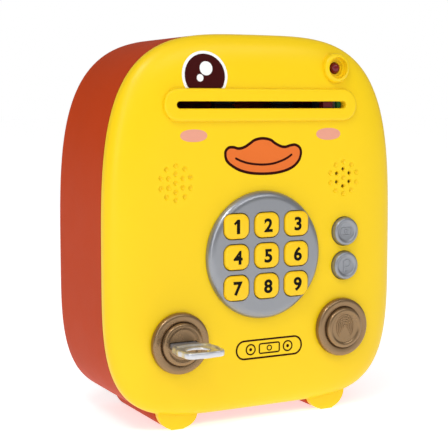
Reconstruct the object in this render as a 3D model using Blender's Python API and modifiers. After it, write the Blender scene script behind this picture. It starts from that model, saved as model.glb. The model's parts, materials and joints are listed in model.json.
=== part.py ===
"""A toy cash machine savings bank: a duckling-faced door on a deep moulded case, with a motor note feed.

Blender 4.5, metres, +Z up. The bank faces -Y and +X is on its right as seen from the front. Sizes are
written in millimetres times MM. Inside this file, x = 0 is the middle of the face, y = 0 is the face
plane and z = 0 is the level where the outline is widest. One empty moves all of it so that the origin
lies under the middle of the whole bank, on the surface that it stands on.
"""
import math

import bmesh
import bpy
from mathutils import Matrix, Vector

MM = 0.001

# Driving dimensions of the outline and the shells
HALF_WIDTH = 87.5 * MM
RISE = 127.6 * MM              # outline above the widest level
DROP = 74.2 * MM               # outline below it
DEPTH = 78.0 * MM              # face plane to the back
SEAM = 12.6 * MM               # face plane to the parting line
SEAM_GAP = 0.5 * MM
DOOR_WALL = 2.2 * MM
CASE_WALL = 2.4 * MM
FOOT_DROP = 80.8 * MM          # widest level to the floor
OUTLINE_POINTS = 40
UPPER_POWERS = (3.67, 3.74)    # of the side and of the end, above the widest level
LOWER_POWERS = (5.10, 3.19)

# Rounded edges
FACE_EDGE = (30.0 * MM, 2.4)   # how far the soft edge of the door reaches in, and its power
DOOR_RIM = 1.2 * MM            # straight part of the door's edge at the seam
BACK_EDGE = 6.0 * MM
COVER_INSET = 10.0 * MM
COVER_BACK = 28.0 * MM
COVER_WALL = 1.6 * MM
COVER_FRONT = 5.6 * MM

# Things on the face: x and z
SLOT_Z = 90.5 * MM
SLOT_LENGTH, SLOT_HEIGHT = 102.0 * MM, 3.3 * MM
BEZEL_LENGTH, BEZEL_HEIGHT, BEZEL_PROUD = 116.0 * MM, 17.0 * MM, 2.0 * MM
LENS_AT = (45.5 * MM, 110.4 * MM)
GRILLE_AT = (51.0 * MM, 50.7 * MM)
PAD_AT = (0.0, 11.0 * MM)
PAD_RADIUS, PAD_PROUD = 34.2 * MM, 4.5 * MM
KEY_PITCH = (18.2 * MM, 16.3 * MM)
KEY_SIZE = (14.2 * MM, 12.8 * MM)
KEY_CORNER, KEY_PROUD, KEY_GAP = 4.2 * MM, 1.7 * MM, 0.4 * MM
BUTTON_AT = ((51.6 * MM, 21.0 * MM), (51.6 * MM, 2.0 * MM))
BUTTON_RADIUS, BUTTON_PROUD = 7.8 * MM, 3.3 * MM
RING_AT = (49.6 * MM, -32.3 * MM)      # lock on the left, print reader on the right
RING_RADIUS, RING_BORE, RING_PROUD = 16.2 * MM, 11.7 * MM, 4.2 * MM
CAP_RADIUS, CAP_PROUD = 11.3 * MM, 5.4 * MM

# Hinge
HINGE_X, HINGE_Y, HINGE_Z = 90.6 * MM, 21.0 * MM, 5.0 * MM
KNUCKLE_RADIUS, PIN_RADIUS, BORE_RADIUS = 2.8 * MM, 1.1 * MM, 1.4 * MM
CASE_KNUCKLES = ((-32.0 * MM, -22.0 * MM), (-5.0 * MM, 5.0 * MM), (22.0 * MM, 32.0 * MM))
DOOR_KNUCKLES = ((-21.6 * MM, -5.4 * MM), (5.4 * MM, 21.6 * MM))

# Lock
CAM_PLANE = 31.0 * MM
STRIKE_X, STRIKE_REACH = -81.1 * MM, 7.2 * MM
CAM_LENGTH, CAM_WIDTH, CAM_THICKNESS = 28.0 * MM, 10.0 * MM, 2.0 * MM
BARREL_RADIUS = 7.5 * MM
BLADE = (7.2 * MM, 1.4 * MM, 20.0 * MM)
BOW_RADIUS, BOW_THICKNESS, BOW_Y = 11.2 * MM, 3.1 * MM, -22.2 * MM
BOW_POWER, SCALLOP = 4.2, 0.3 * MM

# Feet
FOOT_X, FOOT_HALF_WIDTH = 46.6 * MM, 11.6 * MM
FOOT_FRONT, FOOT_BACK = 8.0 * MM, 67.0 * MM

# Note feed
FEED_Y = 11.5 * MM
ROLLER_RADIUS, NIP = 5.0 * MM, 0.3 * MM
SHAFT_RADIUS, SHAFT_BORE = 1.5 * MM, 1.8 * MM
DRIVE_Z = SLOT_Z - NIP / 2 - ROLLER_RADIUS
IDLER_Z = SLOT_Z + NIP / 2 + ROLLER_RADIUS
GEAR_MODULE, GEAR_TEETH, PINION_TEETH = 0.8 * MM, 18, 8
GEAR_DISTANCE = GEAR_MODULE * (GEAR_TEETH + PINION_TEETH) / 2 + 0.2 * MM
MOTOR_TILT = math.radians(30)
MOTOR_Y = FEED_Y + GEAR_DISTANCE * math.sin(MOTOR_TILT)
MOTOR_Z = DRIVE_Z - GEAR_DISTANCE * math.cos(MOTOR_TILT)
FEED_LEFT, FEED_RIGHT, FEED_PLATE = -52.4 * MM, 48.0 * MM, 2.0 * MM
GEAR_X = -56.4 * MM

# Batteries
CELL_RADIUS, CELL_PITCH, CELL_LENGTH = 7.1 * MM, 14.7 * MM, 50.5 * MM
TRAY_Z = -38.3 * MM
TRAY_HALF = (29.7 * MM, 23.3 * MM)
TRAY_FRONT, TRAY_BACK, TRAY_WALL = 10.2 * MM, 26.0 * MM, 1.1 * MM

# Screw posts of the inner cover
POSTS = ((-68.0 * MM, 66.0 * MM), (68.0 * MM, 70.0 * MM), (-68.0 * MM, -6.0 * MM), (68.0 * MM, -6.0 * MM))

# Seam plane down the middle between door and case
DOOR_REAR = SEAM - SEAM_GAP / 2
CASE_FRONT = SEAM + SEAM_GAP / 2

TO_ORIGIN = Vector((-(HINGE_X + KNUCKLE_RADIUS - HALF_WIDTH) / 2,
                    -(DEPTH + BOW_Y - BOW_RADIUS - SCALLOP) / 2, FOOT_DROP))
FACE_FRONT = (math.pi / 2, 0, 0)       # turns a piece made along +Z to look forward, along -Y
FACE_LEFT = (0, -math.pi / 2, 0)       # turns a piece made along +Z to lie along -X


# ---------------------------------------------------------------- scene, materials and placing

def clear_scene():
    for item in list(bpy.data.objects):
        bpy.data.objects.remove(item, do_unlink=True)


def new_collection(name, parent=None):
    group = bpy.data.collections.new(name)
    (parent or bpy.context.scene.collection).children.link(group)
    return group


def finish(name, colour, roughness, metallic=0.0):
    made = bpy.data.materials.new(name)
    made.use_nodes = True
    shader = made.node_tree.nodes["Principled BSDF"]
    shader.inputs["Base Color"].default_value = (*colour, 1.0)
    shader.inputs["Roughness"].default_value = roughness
    shader.inputs["Metallic"].default_value = metallic
    made.diffuse_color = (*colour, 1.0)
    return made


def empty_at(name, at, parent=None):
    """A joint's empty. 'place' holds where it is in this file's coordinates."""
    made = bpy.data.objects.new(name, None)
    made.empty_display_size = 5 * MM
    PARTS.objects.link(made)
    made["place"] = tuple(at)
    put(made, at, parent)
    return made


def put(item, at, parent):
    item.parent = parent
    item.location = Vector(at) - Vector(parent["place"]) if parent else Vector(at)


def add(name, mesh, material, parent, at=(0, 0, 0), rotation=(0, 0, 0)):
    """A sub-part: its mesh, its finish, and where it sits."""
    item = bpy.data.objects.new(name, mesh)
    PARTS.objects.link(item)
    item.rotation_euler = rotation
    put(item, at, parent)
    if not mesh.materials:
        mesh.materials.append(material)
    mesh.shade_smooth()
    mesh.set_sharp_from_angle(angle=math.radians(35))
    return item


def guide(name, mesh, group, at=(0, 0, 0), rotation=(0, 0, 0), parent=None):
    """A hidden shape that a Boolean joins to a sub-part or cuts from it."""
    item = bpy.data.objects.new(name, mesh)
    group.objects.link(item)
    item.rotation_euler = rotation
    put(item, at, parent or ROOT)
    item.hide_render = True
    item.display_type = 'WIRE'
    return item


def boolean(item, operation, group):
    change = item.modifiers.new(operation.title(), 'BOOLEAN')
    change.operation = operation
    change.solver = 'EXACT'
    change.operand_type = 'COLLECTION'
    change.collection = group


def bevel(item, width, segments=2, angle=40):
    change = item.modifiers.new("Bevel", 'BEVEL')
    change.width = width
    change.segments = segments
    change.limit_method = 'ANGLE'
    change.angle_limit = math.radians(angle)
    change.use_clamp_overlap = True
    return item


# ---------------------------------------------------------------- shapes

def body_outline(inset=0.0):
    """The front outline as (x, z): an egg-like superellipse with its own powers above and below."""
    points = []
    for step in range(OUTLINE_POINTS):
        turn = 2 * math.pi * step / OUTLINE_POINTS
        across, up = math.cos(turn), math.sin(turn)
        reach, powers = (RISE, UPPER_POWERS) if up >= 0 else (DROP, LOWER_POWERS)
        x = (HALF_WIDTH - inset) * math.copysign(abs(across) ** (2 / powers[0]), across)
        z = (reach - inset) * math.copysign(abs(up) ** (2 / powers[1]), up)
        points.append((x, z))
    return points


def skin(sections, cap_back=False, cap_front=False):
    """Skin the body outline at several (inset, y) sections, listed from the back to the front."""
    shape = bmesh.new()
    rows = [[shape.verts.new((x, y, z)) for x, z in body_outline(inset)] for inset, y in sections]
    for row, following in zip(rows, rows[1:]):
        for i in range(len(row)):
            shape.faces.new((row[i - 1], row[i], following[i], following[i - 1]))
    if cap_back:
        shape.faces.new(list(reversed(rows[0])))
    if cap_front:
        shape.faces.new(rows[-1])
    return to_mesh(shape)


def to_mesh(shape):
    mesh = bpy.data.meshes.new("shape")
    shape.to_mesh(mesh)
    shape.free()
    return mesh


def thicken(item, wall):
    """Give an open skin its wall, inwards."""
    change = item.modifiers.new("Wall", 'SOLIDIFY')
    change.thickness = wall
    change.offset = -1
    change.use_even_offset = True


def box(size, centre=(0, 0, 0)):
    shape = bmesh.new()
    bmesh.ops.create_cube(shape, size=1.0, matrix=Matrix.Translation(centre) @ Matrix.Diagonal((*size, 1)))
    return to_mesh(shape)


def rod(radius, low, high, sides=24, tip=None):
    """A round bar along Z from low to high."""
    shape = bmesh.new()
    bmesh.ops.create_cone(shape, cap_ends=True, segments=sides, radius1=radius,
                          radius2=radius if tip is None else tip, depth=high - low,
                          matrix=Matrix.Translation((0, 0, (low + high) / 2)))
    return to_mesh(shape)


def flat(points, thickness, holes=()):
    """A flat outline in XY with its thickness along Z, centred, made from filled 2D curves."""
    curve = bpy.data.curves.new("outline", 'CURVE')
    curve.dimensions = '2D'
    curve.fill_mode = 'BOTH'
    curve.extrude = thickness / 2
    for loop in (points, *holes):
        spline = curve.splines.new('POLY')
        spline.points.add(len(loop) - 1)
        for knot, (x, y) in zip(spline.points, loop):
            knot.co = (x, y, 0, 1)
        spline.use_cyclic_u = True
    holder = bpy.data.objects.new("outline", curve)
    CUTTERS.objects.link(holder)
    seen = holder.evaluated_get(bpy.context.evaluated_depsgraph_get())
    mesh = bpy.data.meshes.new_from_object(seen)
    bpy.data.objects.remove(holder, do_unlink=True)
    shape = bmesh.new()
    shape.from_mesh(mesh)
    bmesh.ops.remove_doubles(shape, verts=shape.verts, dist=0.005 * MM)
    bmesh.ops.recalc_face_normals(shape, faces=shape.faces)
    shape.to_mesh(mesh)
    shape.free()
    return mesh


def rounded(width, height, corner, steps=4):
    """A rounded rectangle's outline; a stadium when the corner is half the height."""
    points = []
    for quarter, (side, end) in enumerate(((1, 1), (-1, 1), (-1, -1), (1, -1))):
        for step in range(steps + 1):
            turn = math.pi / 2 * (quarter + step / steps)
            points.append((side * (width / 2 - corner) + corner * math.cos(turn),
                           end * (height / 2 - corner) + corner * math.sin(turn)))
    kept = []
    for x, y in points:
        if not kept or math.hypot(x - kept[-1][0], y - kept[-1][1]) > 0.01 * MM:
            kept.append((x, y))
    if math.hypot(kept[0][0] - kept[-1][0], kept[0][1] - kept[-1][1]) < 0.01 * MM:
        kept.pop()
    return kept


def circle(radius, sides, centre=(0, 0)):
    """Points of a circle."""
    turns = [2 * math.pi * step / sides for step in range(sides)]
    return [(centre[0] + radius * math.cos(turn), centre[1] + radius * math.sin(turn)) for turn in turns]


def turned(name, profile, material, parent, at, rotation=FACE_FRONT, steps=32):
    """A turned piece: (radius, height) down its outer side, from the top on the axis to the bottom."""
    shape = bmesh.new()
    knots = [shape.verts.new((radius, 0, height)) for radius, height in profile]
    for knot, following in zip(knots, knots[1:]):
        shape.edges.new((knot, following))
    if profile[0][0] > 0:
        shape.edges.new((knots[-1], knots[0]))
    item = add(name, to_mesh(shape), material, parent, at, rotation)
    screw = item.modifiers.new("Turn", 'SCREW')
    screw.axis = 'Z'
    screw.steps = screw.render_steps = steps
    screw.use_merge_vertices = True
    screw.merge_threshold = 0.00001
    screw.use_smooth_shade = True
    return item


def soft_section(reach, depth, power, steps):
    """(inset, height above the seam) along a superelliptic edge, from the seam to the flat."""
    points = []
    for step in range(steps + 1):
        turn = math.pi / 2 * step / steps
        points.append((reach * (1 - math.cos(turn) ** (2 / power)), depth * math.sin(turn) ** (2 / power)))
    return points


# ---------------------------------------------------------------- case

def floor_level(x, inset):
    """Height of the lower outline at x."""
    share = (abs(x) / (HALF_WIDTH - inset)) ** LOWER_POWERS[0]
    return -(DROP - inset) * (1 - share) ** (1 / LOWER_POWERS[1])


def side_level(z, inset):
    """Half-width of the lower outline at z."""
    share = (abs(z) / (DROP - inset)) ** LOWER_POWERS[1]
    return (HALF_WIDTH - inset) * (1 - share) ** (1 / LOWER_POWERS[0])


def foot_section(middle):
    """Half-round foot as (x, z): a low superellipse with a flat to stand on, and a top inside the wall."""
    steps, power, flat_half, buried = 6, 2.1, 3.6 * MM, 1.1 * MM
    section = []
    for step in range(steps + 1):
        x = middle + FOOT_HALF_WIDTH * (1 - 2 * step / steps)
        section.append((x, floor_level(x, buried)))
    for side in (-1, 1):
        start = section[-1][1] if side < 0 else section[0][1]
        arc = []
        for step in range(1, steps):
            turn = math.pi / 2 * step / steps
            across = FOOT_HALF_WIDTH * math.cos(turn) ** (2 / power)
            if across > flat_half + 1 * MM:
                down = (start + FOOT_DROP) * math.sin(turn) ** (2 / power)
                arc.append((middle + side * across, start - down))
        arc.append((middle + side * flat_half, -FOOT_DROP))
        section += arc if side < 0 else list(reversed(arc))
    return section


def add_feet(group, parent, low_y, high_y, rounded_end):
    """Feet are ribs along Y that stand out of the floor of a shell."""
    for label, side in (("left", -1), ("right", 1)):
        mesh = flat(foot_section(side * FOOT_X), high_y - low_y)
        centre = (0, (low_y + high_y) / 2, 0)
        foot = guide(f"{group.name}_foot_{label}", mesh, group, centre, FACE_FRONT, parent)
        bevel(foot, rounded_end, 1, 60)


def knuckle(group, parent, low, high, arm):
    """One hinge barrel with the web that ties it to its shell."""
    centre = (HINGE_X, HINGE_Y, HINGE_Z)
    guide(f"{group.name}_barrel_{low / MM:.0f}", rod(KNUCKLE_RADIUS, low, high, 14), group, centre,
          (0, 0, 0), parent)
    mesh = flat(arm, high - low)
    guide(f"{group.name}_web_{low / MM:.0f}", mesh, group,
          (0, 0, HINGE_Z + (low + high) / 2), (0, 0, 0), parent)


def make_case():
    edge = soft_section(BACK_EDGE, BACK_EDGE, 2.2, 3)
    sections = [(inset, DEPTH - BACK_EDGE + height) for inset, height in reversed(edge)]
    sections += [(0.0, DEPTH * 0.5), (0.0, CASE_FRONT)]
    case = add("rear_case", skin(sections, cap_back=True), RED, ROOT)
    thicken(case, CASE_WALL)

    additions = new_collection("case additions", CUTTERS)
    lip_outer, lip_inner = DOOR_WALL + 0.6 * MM, DOOR_WALL + 2.0 * MM
    lip = guide("case_lip", skin([(lip_outer - 1.2 * MM, CASE_FRONT + 4 * MM),
                                  (lip_outer - 1.2 * MM, CASE_FRONT + 0.8 * MM),
                                  (lip_outer, CASE_FRONT + 0.8 * MM),
                                  (lip_outer, CASE_FRONT - 2.2 * MM),
                                  (lip_inner, CASE_FRONT - 2.2 * MM),
                                  (lip_inner, CASE_FRONT + 4 * MM),
                                  (lip_outer - 1.2 * MM, CASE_FRONT + 4 * MM)]), additions)
    weld = lip.modifiers.new("Weld", 'WELD')
    weld.merge_threshold = 0.00001
    add_feet(additions, ROOT, CASE_FRONT + 0.1 * MM, FOOT_BACK, 3 * MM)
    inside = HALF_WIDTH - CASE_WALL / 2
    web = [(inside, HINGE_Y - 2.4 * MM), (HINGE_X, HINGE_Y - 2.4 * MM),
           (HINGE_X, HINGE_Y + 2.4 * MM), (inside, HINGE_Y + 2.4 * MM)]
    for low, high in CASE_KNUCKLES:
        knuckle(additions, ROOT, low, high, web)
    boss = [(STRIKE_X - 0.3 * MM, RING_AT[1] + rise * MM) for rise in (-10, 10)]
    boss += [(-side_level(RING_AT[1] + rise * MM, CASE_WALL / 2), RING_AT[1] + rise * MM)
             for rise in (10, 5, 0, -5, -10)]
    guide("strike_boss", flat(boss, 8.0 * MM), additions, (0, 21.5 * MM, 0), FACE_FRONT)
    boolean(case, 'UNION', additions)

    cuts = new_collection("case cuts", CUTTERS)
    guide("coin_slot", flat(rounded(30 * MM, 3.4 * MM, 1.69 * MM), 20 * MM), cuts, (0, 50 * MM, RISE))
    guide("case_pin_bore", rod(BORE_RADIUS, -40 * MM, 40 * MM, 12), cuts, (HINGE_X, HINGE_Y, HINGE_Z))
    for side in (-1, 1):
        guide(f"strike_hole_{side}", rod(1.4 * MM, 0, 4.6 * MM, 12), cuts,
              (STRIKE_X + 2.1 * MM, 22.0 * MM, RING_AT[1] + side * 6.5 * MM), FACE_LEFT)
    boolean(case, 'DIFFERENCE', cuts)

    profile = [(0, 34.6 * MM), (2.2 * MM, 34.6 * MM), (2.2 * MM, 33.2 * MM), (PIN_RADIUS, 33.0 * MM),
               (PIN_RADIUS, -33.5 * MM), (0, -33.5 * MM)]
    turned("hinge_pin", profile, STEEL, ROOT, (HINGE_X, HINGE_Y, HINGE_Z), (0, 0, 0), 16)


def make_strike():
    """A steel angle on the left wall: the cam turns behind its inner leg."""
    sheet, low, high = 1.2 * MM, 17.8 * MM, CAM_PLANE - 1.4 * MM
    leg = [(STRIKE_X, low), (STRIKE_X + sheet, low), (STRIKE_X + sheet, high - sheet),
           (STRIKE_X + STRIKE_REACH, high - sheet), (STRIKE_X + STRIKE_REACH, high), (STRIKE_X, high)]
    strike = add("strike_plate", flat(leg, 18 * MM), STEEL, ROOT, (0, 0, RING_AT[1]))
    holes = new_collection("strike cuts", CUTTERS)
    for number, side in enumerate((-1, 1), 1):
        at = (STRIKE_X + 2.4 * MM, 22.0 * MM, RING_AT[1] + side * 6.5 * MM)
        guide(f"strike_screw_hole_{number}", rod(1.4 * MM, 0, 6 * MM, 12), holes, at, FACE_LEFT)
        screw = [(0, 0), (2.0 * MM, 0), (2.2 * MM, -0.8 * MM), (1.1 * MM, -0.9 * MM), (1.1 * MM, -4.6 * MM),
                 (0, -4.6 * MM)]
        turned(f"strike_screw_{number}", screw, STEEL, ROOT, at, (0, math.pi / 2, 0), 12)
    boolean(strike, 'DIFFERENCE', holes)


# ---------------------------------------------------------------- door

def make_door():
    edge = soft_section(FACE_EDGE[0], DOOR_REAR - DOOR_RIM, FACE_EDGE[1], 5)
    sections = [(0.0, DOOR_REAR)] + [(inset, DOOR_REAR - DOOR_RIM - height) for inset, height in edge]
    door = add("door_shell", skin(sections, cap_front=True), YELLOW, DOOR)
    thicken(door, DOOR_WALL)

    additions = new_collection("door additions", CUTTERS)
    bezel = guide("slot_bezel", flat(rounded(BEZEL_LENGTH, BEZEL_HEIGHT, BEZEL_HEIGHT / 2.02, 5),
                                     BEZEL_PROUD + 1.6 * MM), additions,
                  (0, (1.6 * MM - BEZEL_PROUD) / 2, SLOT_Z), FACE_FRONT, DOOR)
    bevel(bezel, 1.5 * MM)
    ring = guide("lens_ring", rod(8.0 * MM, -4.6 * MM, 2.2 * MM, 20), additions,
                 (LENS_AT[0], 0, LENS_AT[1]), FACE_FRONT, DOOR)
    bevel(ring, 1.2 * MM)
    add_feet(additions, DOOR, FOOT_FRONT, DOOR_REAR - 0.1 * MM, 2.5 * MM)
    arm = [(HALF_WIDTH - 1.2 * MM, 9.6 * MM), (HALF_WIDTH + 0.1 * MM, 9.6 * MM), (89.2 * MM, 13.5 * MM),
           (HINGE_X + 1.8 * MM, HINGE_Y - 2 * MM), (HINGE_X, HINGE_Y),
           (HINGE_X - 1.4 * MM, HINGE_Y - 2 * MM), (HALF_WIDTH + 0.4 * MM, DOOR_REAR + 2.4 * MM),
           (HALF_WIDTH + 0.4 * MM, DOOR_REAR - 0.2 * MM), (HALF_WIDTH - 1.2 * MM, DOOR_REAR - 0.4 * MM)]
    for low, high in DOOR_KNUCKLES:
        knuckle(additions, DOOR, low, high, arm)
    for number, (x, z) in enumerate(POSTS, 1):
        post = rod(3.2 * MM, -26.0 * MM, -1.6 * MM, 12)
        guide(f"post_{number}", post, additions, (x, 0, z), FACE_FRONT, DOOR)
    boolean(door, 'UNION', additions)

    cuts = new_collection("door cuts", CUTTERS)
    guide("note_slot", flat(rounded(SLOT_LENGTH, SLOT_HEIGHT, SLOT_HEIGHT / 2.02), 20 * MM), cuts,
          (0, 0, SLOT_Z), FACE_FRONT, DOOR)
    for label, radius, low in (("mouth", 5.8, -0.6), ("step", 4.4, -1.6), ("bore", 3.3, -10)):
        guide(f"lens_{label}", rod(radius * MM, low * MM, 9 * MM, 16), cuts,
              (LENS_AT[0], 0, LENS_AT[1]), FACE_FRONT, DOOR)
    holes = [("pad_opening", PAD_AT, PAD_RADIUS - 0.8 * MM, 32),
             ("upper_button_opening", BUTTON_AT[0], BUTTON_RADIUS + 0.4 * MM, 20),
             ("lower_button_opening", BUTTON_AT[1], BUTTON_RADIUS + 0.4 * MM, 20),
             ("lock_opening", (-RING_AT[0], RING_AT[1]), 12.9 * MM, 20),
             ("print_opening", RING_AT, 12.9 * MM, 20)]
    for number in range(6):
        turn = math.pi / 3 * (number + 0.5)
        at = (GRILLE_AT[0] + 4.7 * MM * math.cos(turn), GRILLE_AT[1] + 4.7 * MM * math.sin(turn))
        holes.append((f"speaker_hole_{number}", at, 1.0 * MM, 8))
    for label, (x, z), radius, sides in holes:
        guide(label, rod(radius, -5 * MM, 5 * MM, sides), cuts, (x, 0, z), FACE_FRONT, DOOR)
    guide("door_pin_bore", rod(BORE_RADIUS, -40 * MM, 40 * MM, 12), cuts, (HINGE_X, HINGE_Y, HINGE_Z),
          (0, 0, 0), DOOR)
    for number, (x, z) in enumerate(POSTS, 1):
        hole = rod(1.6 * MM, -27 * MM, -13 * MM, 10)
        guide(f"post_hole_{number}", hole, cuts, (x, 0, z), FACE_FRONT, DOOR)
    boolean(door, 'DIFFERENCE', cuts)


def make_inner_cover():
    """The tray on the back of the door that closes in the feed, the boards and the batteries."""
    edge = soft_section(2.5 * MM, 2.5 * MM, 2.0, 2)
    sections = [(COVER_INSET + inset, COVER_BACK - 2.5 * MM + height) for inset, height in reversed(edge)]
    sections += [(COVER_INSET, COVER_FRONT)]
    cover = add("door_inner_cover", skin(sections, cap_back=True), CREAM, DOOR)
    thicken(cover, COVER_WALL)
    cuts = new_collection("cover cuts", CUTTERS)
    guide("note_exit", flat(rounded(96 * MM, 7 * MM, 3.4 * MM), 6 * MM), cuts, (0, COVER_BACK, SLOT_Z),
          FACE_FRONT, DOOR)
    guide("barrel_passage", rod(BARREL_RADIUS + 0.6 * MM, -40 * MM, -20 * MM, 24), cuts,
          (-RING_AT[0], 0, RING_AT[1]), FACE_FRONT, DOOR)
    guide("battery_opening", flat(rounded(61 * MM, 51 * MM, 2 * MM, 2), 6 * MM), cuts,
          (0, COVER_BACK, TRAY_Z + 2.4 * MM), FACE_FRONT, DOOR)
    for number, (x, z) in enumerate(POSTS, 1):
        hole = rod(1.7 * MM, -30 * MM, -24 * MM, 12)
        guide(f"cover_hole_{number}", hole, cuts, (x, 0, z), FACE_FRONT, DOOR)
        screw = [(0, -13.8 * MM), (1.3 * MM, -13.8 * MM), (1.3 * MM, -28.3 * MM), (3.0 * MM, -28.4 * MM),
                 (2.6 * MM, -30.0 * MM), (0, -30.0 * MM)]
        turned(f"cover_screw_{number}", screw, STEEL, DOOR, (x, 0, z), FACE_FRONT, 10)
    boolean(cover, 'DIFFERENCE', cuts)


# ---------------------------------------------------------------- keypad and buttons

def make_keypad():
    rim = 3.6 * MM
    boss = PAD_RADIUS - 1.2 * MM
    profile = [(0, PAD_PROUD)]
    for inset, height in reversed(soft_section(rim, PAD_PROUD - 1.0 * MM, 2.0, 3)):
        profile.append((PAD_RADIUS - inset, height + 1.0 * MM))
    profile += [(PAD_RADIUS, 0.3 * MM), (boss, 0.3 * MM), (boss, -2.2 * MM), (0, -2.2 * MM)]
    bezel = turned("keypad_bezel", profile, SILVER, DOOR, (PAD_AT[0], 0, PAD_AT[1]), FACE_FRONT, 32)
    cuts = new_collection("keypad cuts", CUTTERS)
    width, height = (size + 2 * KEY_GAP for size in KEY_SIZE)
    hole = flat(rounded(width, height, KEY_CORNER + KEY_GAP, 2), 20 * MM)
    stem = rounded(*KEY_SIZE, KEY_CORNER, 2)
    flange = rounded(KEY_SIZE[0] + 1.8 * MM, KEY_SIZE[1] + 1.8 * MM, KEY_CORNER + 0.9 * MM, 2)
    front = PAD_PROUD + KEY_PROUD
    for number in range(1, 10):
        row, column = divmod(number - 1, 3)
        x = PAD_AT[0] + (column - 1) * KEY_PITCH[0]
        z = PAD_AT[1] + (1 - row) * KEY_PITCH[1]
        guide(f"key_hole_{number}", hole, cuts, (x, 0, z), FACE_FRONT, DOOR)
        travel = empty_at(f"key_{number}_travel", (x, 0, z), DOOR)
        body = flat(stem, front + 3.0 * MM)
        key = add(f"key_{number}", body, YELLOW, travel, (x, (3.0 * MM - front) / 2, z), FACE_FRONT)
        bevel(key, 1.0 * MM, 1)
        ends = new_collection(f"key {number} flange", CUTTERS)
        guide(f"key_flange_{number}", flat(flange, 1.0 * MM), ends, (x, 3.1 * MM, z), FACE_FRONT, travel)
        boolean(key, 'UNION', ends)
    boolean(bezel, 'DIFFERENCE', cuts)


def make_button(name, at, radius, proud, material, rim):
    """A round push button: cap, skirt and the flange that keeps it behind the face."""
    travel = empty_at(f"{name}_travel", (at[0], 0, at[1]), DOOR)
    profile = [(0, proud - 0.5 * MM), (radius - rim - 0.6 * MM, proud - 0.5 * MM), (radius - rim, proud),
               (radius - 0.9 * MM, proud), (radius, proud - 0.9 * MM), (radius, -2.6 * MM),
               (radius + 1.0 * MM, -2.6 * MM), (radius + 1.0 * MM, -3.6 * MM), (0, -3.6 * MM)]
    turned(name, profile, material, travel, (at[0], 0, at[1]), FACE_FRONT, 20)


def make_buttons():
    make_button("upper_button", BUTTON_AT[0], BUTTON_RADIUS, BUTTON_PROUD, SILVER, 1.8 * MM)
    make_button("lower_button", BUTTON_AT[1], BUTTON_RADIUS, BUTTON_PROUD, SILVER, 1.8 * MM)
    make_button("print_button", RING_AT, CAP_RADIUS, CAP_PROUD, GOLD, 1.9 * MM)


def make_trim_ring(name, at):
    """A turned gold ring with a boss that goes through the door."""
    boss = 12.5 * MM
    profile = [(RING_BORE, RING_PROUD - 1.0 * MM), (RING_BORE + 2.2 * MM, RING_PROUD - 0.8 * MM),
               (RING_RADIUS - 1.9 * MM, RING_PROUD), (RING_RADIUS - 0.7 * MM, RING_PROUD - 0.6 * MM),
               (RING_RADIUS, RING_PROUD - 2.0 * MM), (RING_RADIUS, 0.3 * MM), (boss, 0.3 * MM),
               (boss, -2.1 * MM), (RING_BORE, -2.1 * MM)]
    turned(name, profile, GOLD, DOOR, (at[0], 0, at[1]), FACE_FRONT, 24)


# ---------------------------------------------------------------- lock

def make_lock():
    """The key goes in the rotor, the rotor turns the cam, and the cam goes behind the strike."""
    x, z = -RING_AT[0], RING_AT[1]
    rotor_end = CAM_PLANE + CAM_THICKNESS + 2.0 * MM
    profile = [(0, CAP_PROUD), (CAP_RADIUS - 2.6 * MM, CAP_PROUD),
               (CAP_RADIUS - 1.9 * MM, CAP_PROUD + 0.5 * MM),
               (CAP_RADIUS - 0.9 * MM, CAP_PROUD + 0.5 * MM), (CAP_RADIUS, CAP_PROUD - 0.4 * MM),
               (CAP_RADIUS, -3.6 * MM), (BARREL_RADIUS, -3.6 * MM), (BARREL_RADIUS, -CAM_PLANE + 0.3 * MM),
               (3.0 * MM, -CAM_PLANE + 0.3 * MM), (3.0 * MM, -rotor_end), (0, -rotor_end)]
    rotor = turned("lock_rotor", profile, GOLD, ROTOR, (x, 0, z), FACE_FRONT, 20)
    cuts = new_collection("lock cuts", CUTTERS)
    keyway = (BLADE[0] + 0.8 * MM, BLADE[2] + 4.0 * MM, BLADE[1] + 0.8 * MM)
    guide("keyway", box(keyway, (0, keyway[1] / 2 - 8.0 * MM, 0)), cuts, (x, 0, z), (0, 0, 0), ROTOR)
    boolean(rotor, 'DIFFERENCE', cuts)

    arm = [(CAM_WIDTH / 2 * math.cos(t), CAM_WIDTH / 2 * math.sin(t)) for t in
           (math.pi * step / 6 for step in range(7))]
    arm += [(-CAM_WIDTH / 2, -CAM_LENGTH + 2 * MM), (-CAM_WIDTH / 2 + 2 * MM, -CAM_LENGTH),
            (CAM_WIDTH / 2 - 2 * MM, -CAM_LENGTH), (CAM_WIDTH / 2, -CAM_LENGTH + 2 * MM)]
    hole = circle(3.3 * MM, 16)
    cam_middle = CAM_PLANE + CAM_THICKNESS / 2
    nut_middle = CAM_PLANE + CAM_THICKNESS + 1.5 * MM
    nut = flat(circle(5.0 * MM, 6), 2.4 * MM, [hole])
    add("lock_cam", flat(arm, CAM_THICKNESS, [hole]), STEEL, ROTOR, (x, cam_middle, z), FACE_FRONT)
    add("cam_nut", nut, STEEL, ROTOR, (x, nut_middle, z), FACE_FRONT)


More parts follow.
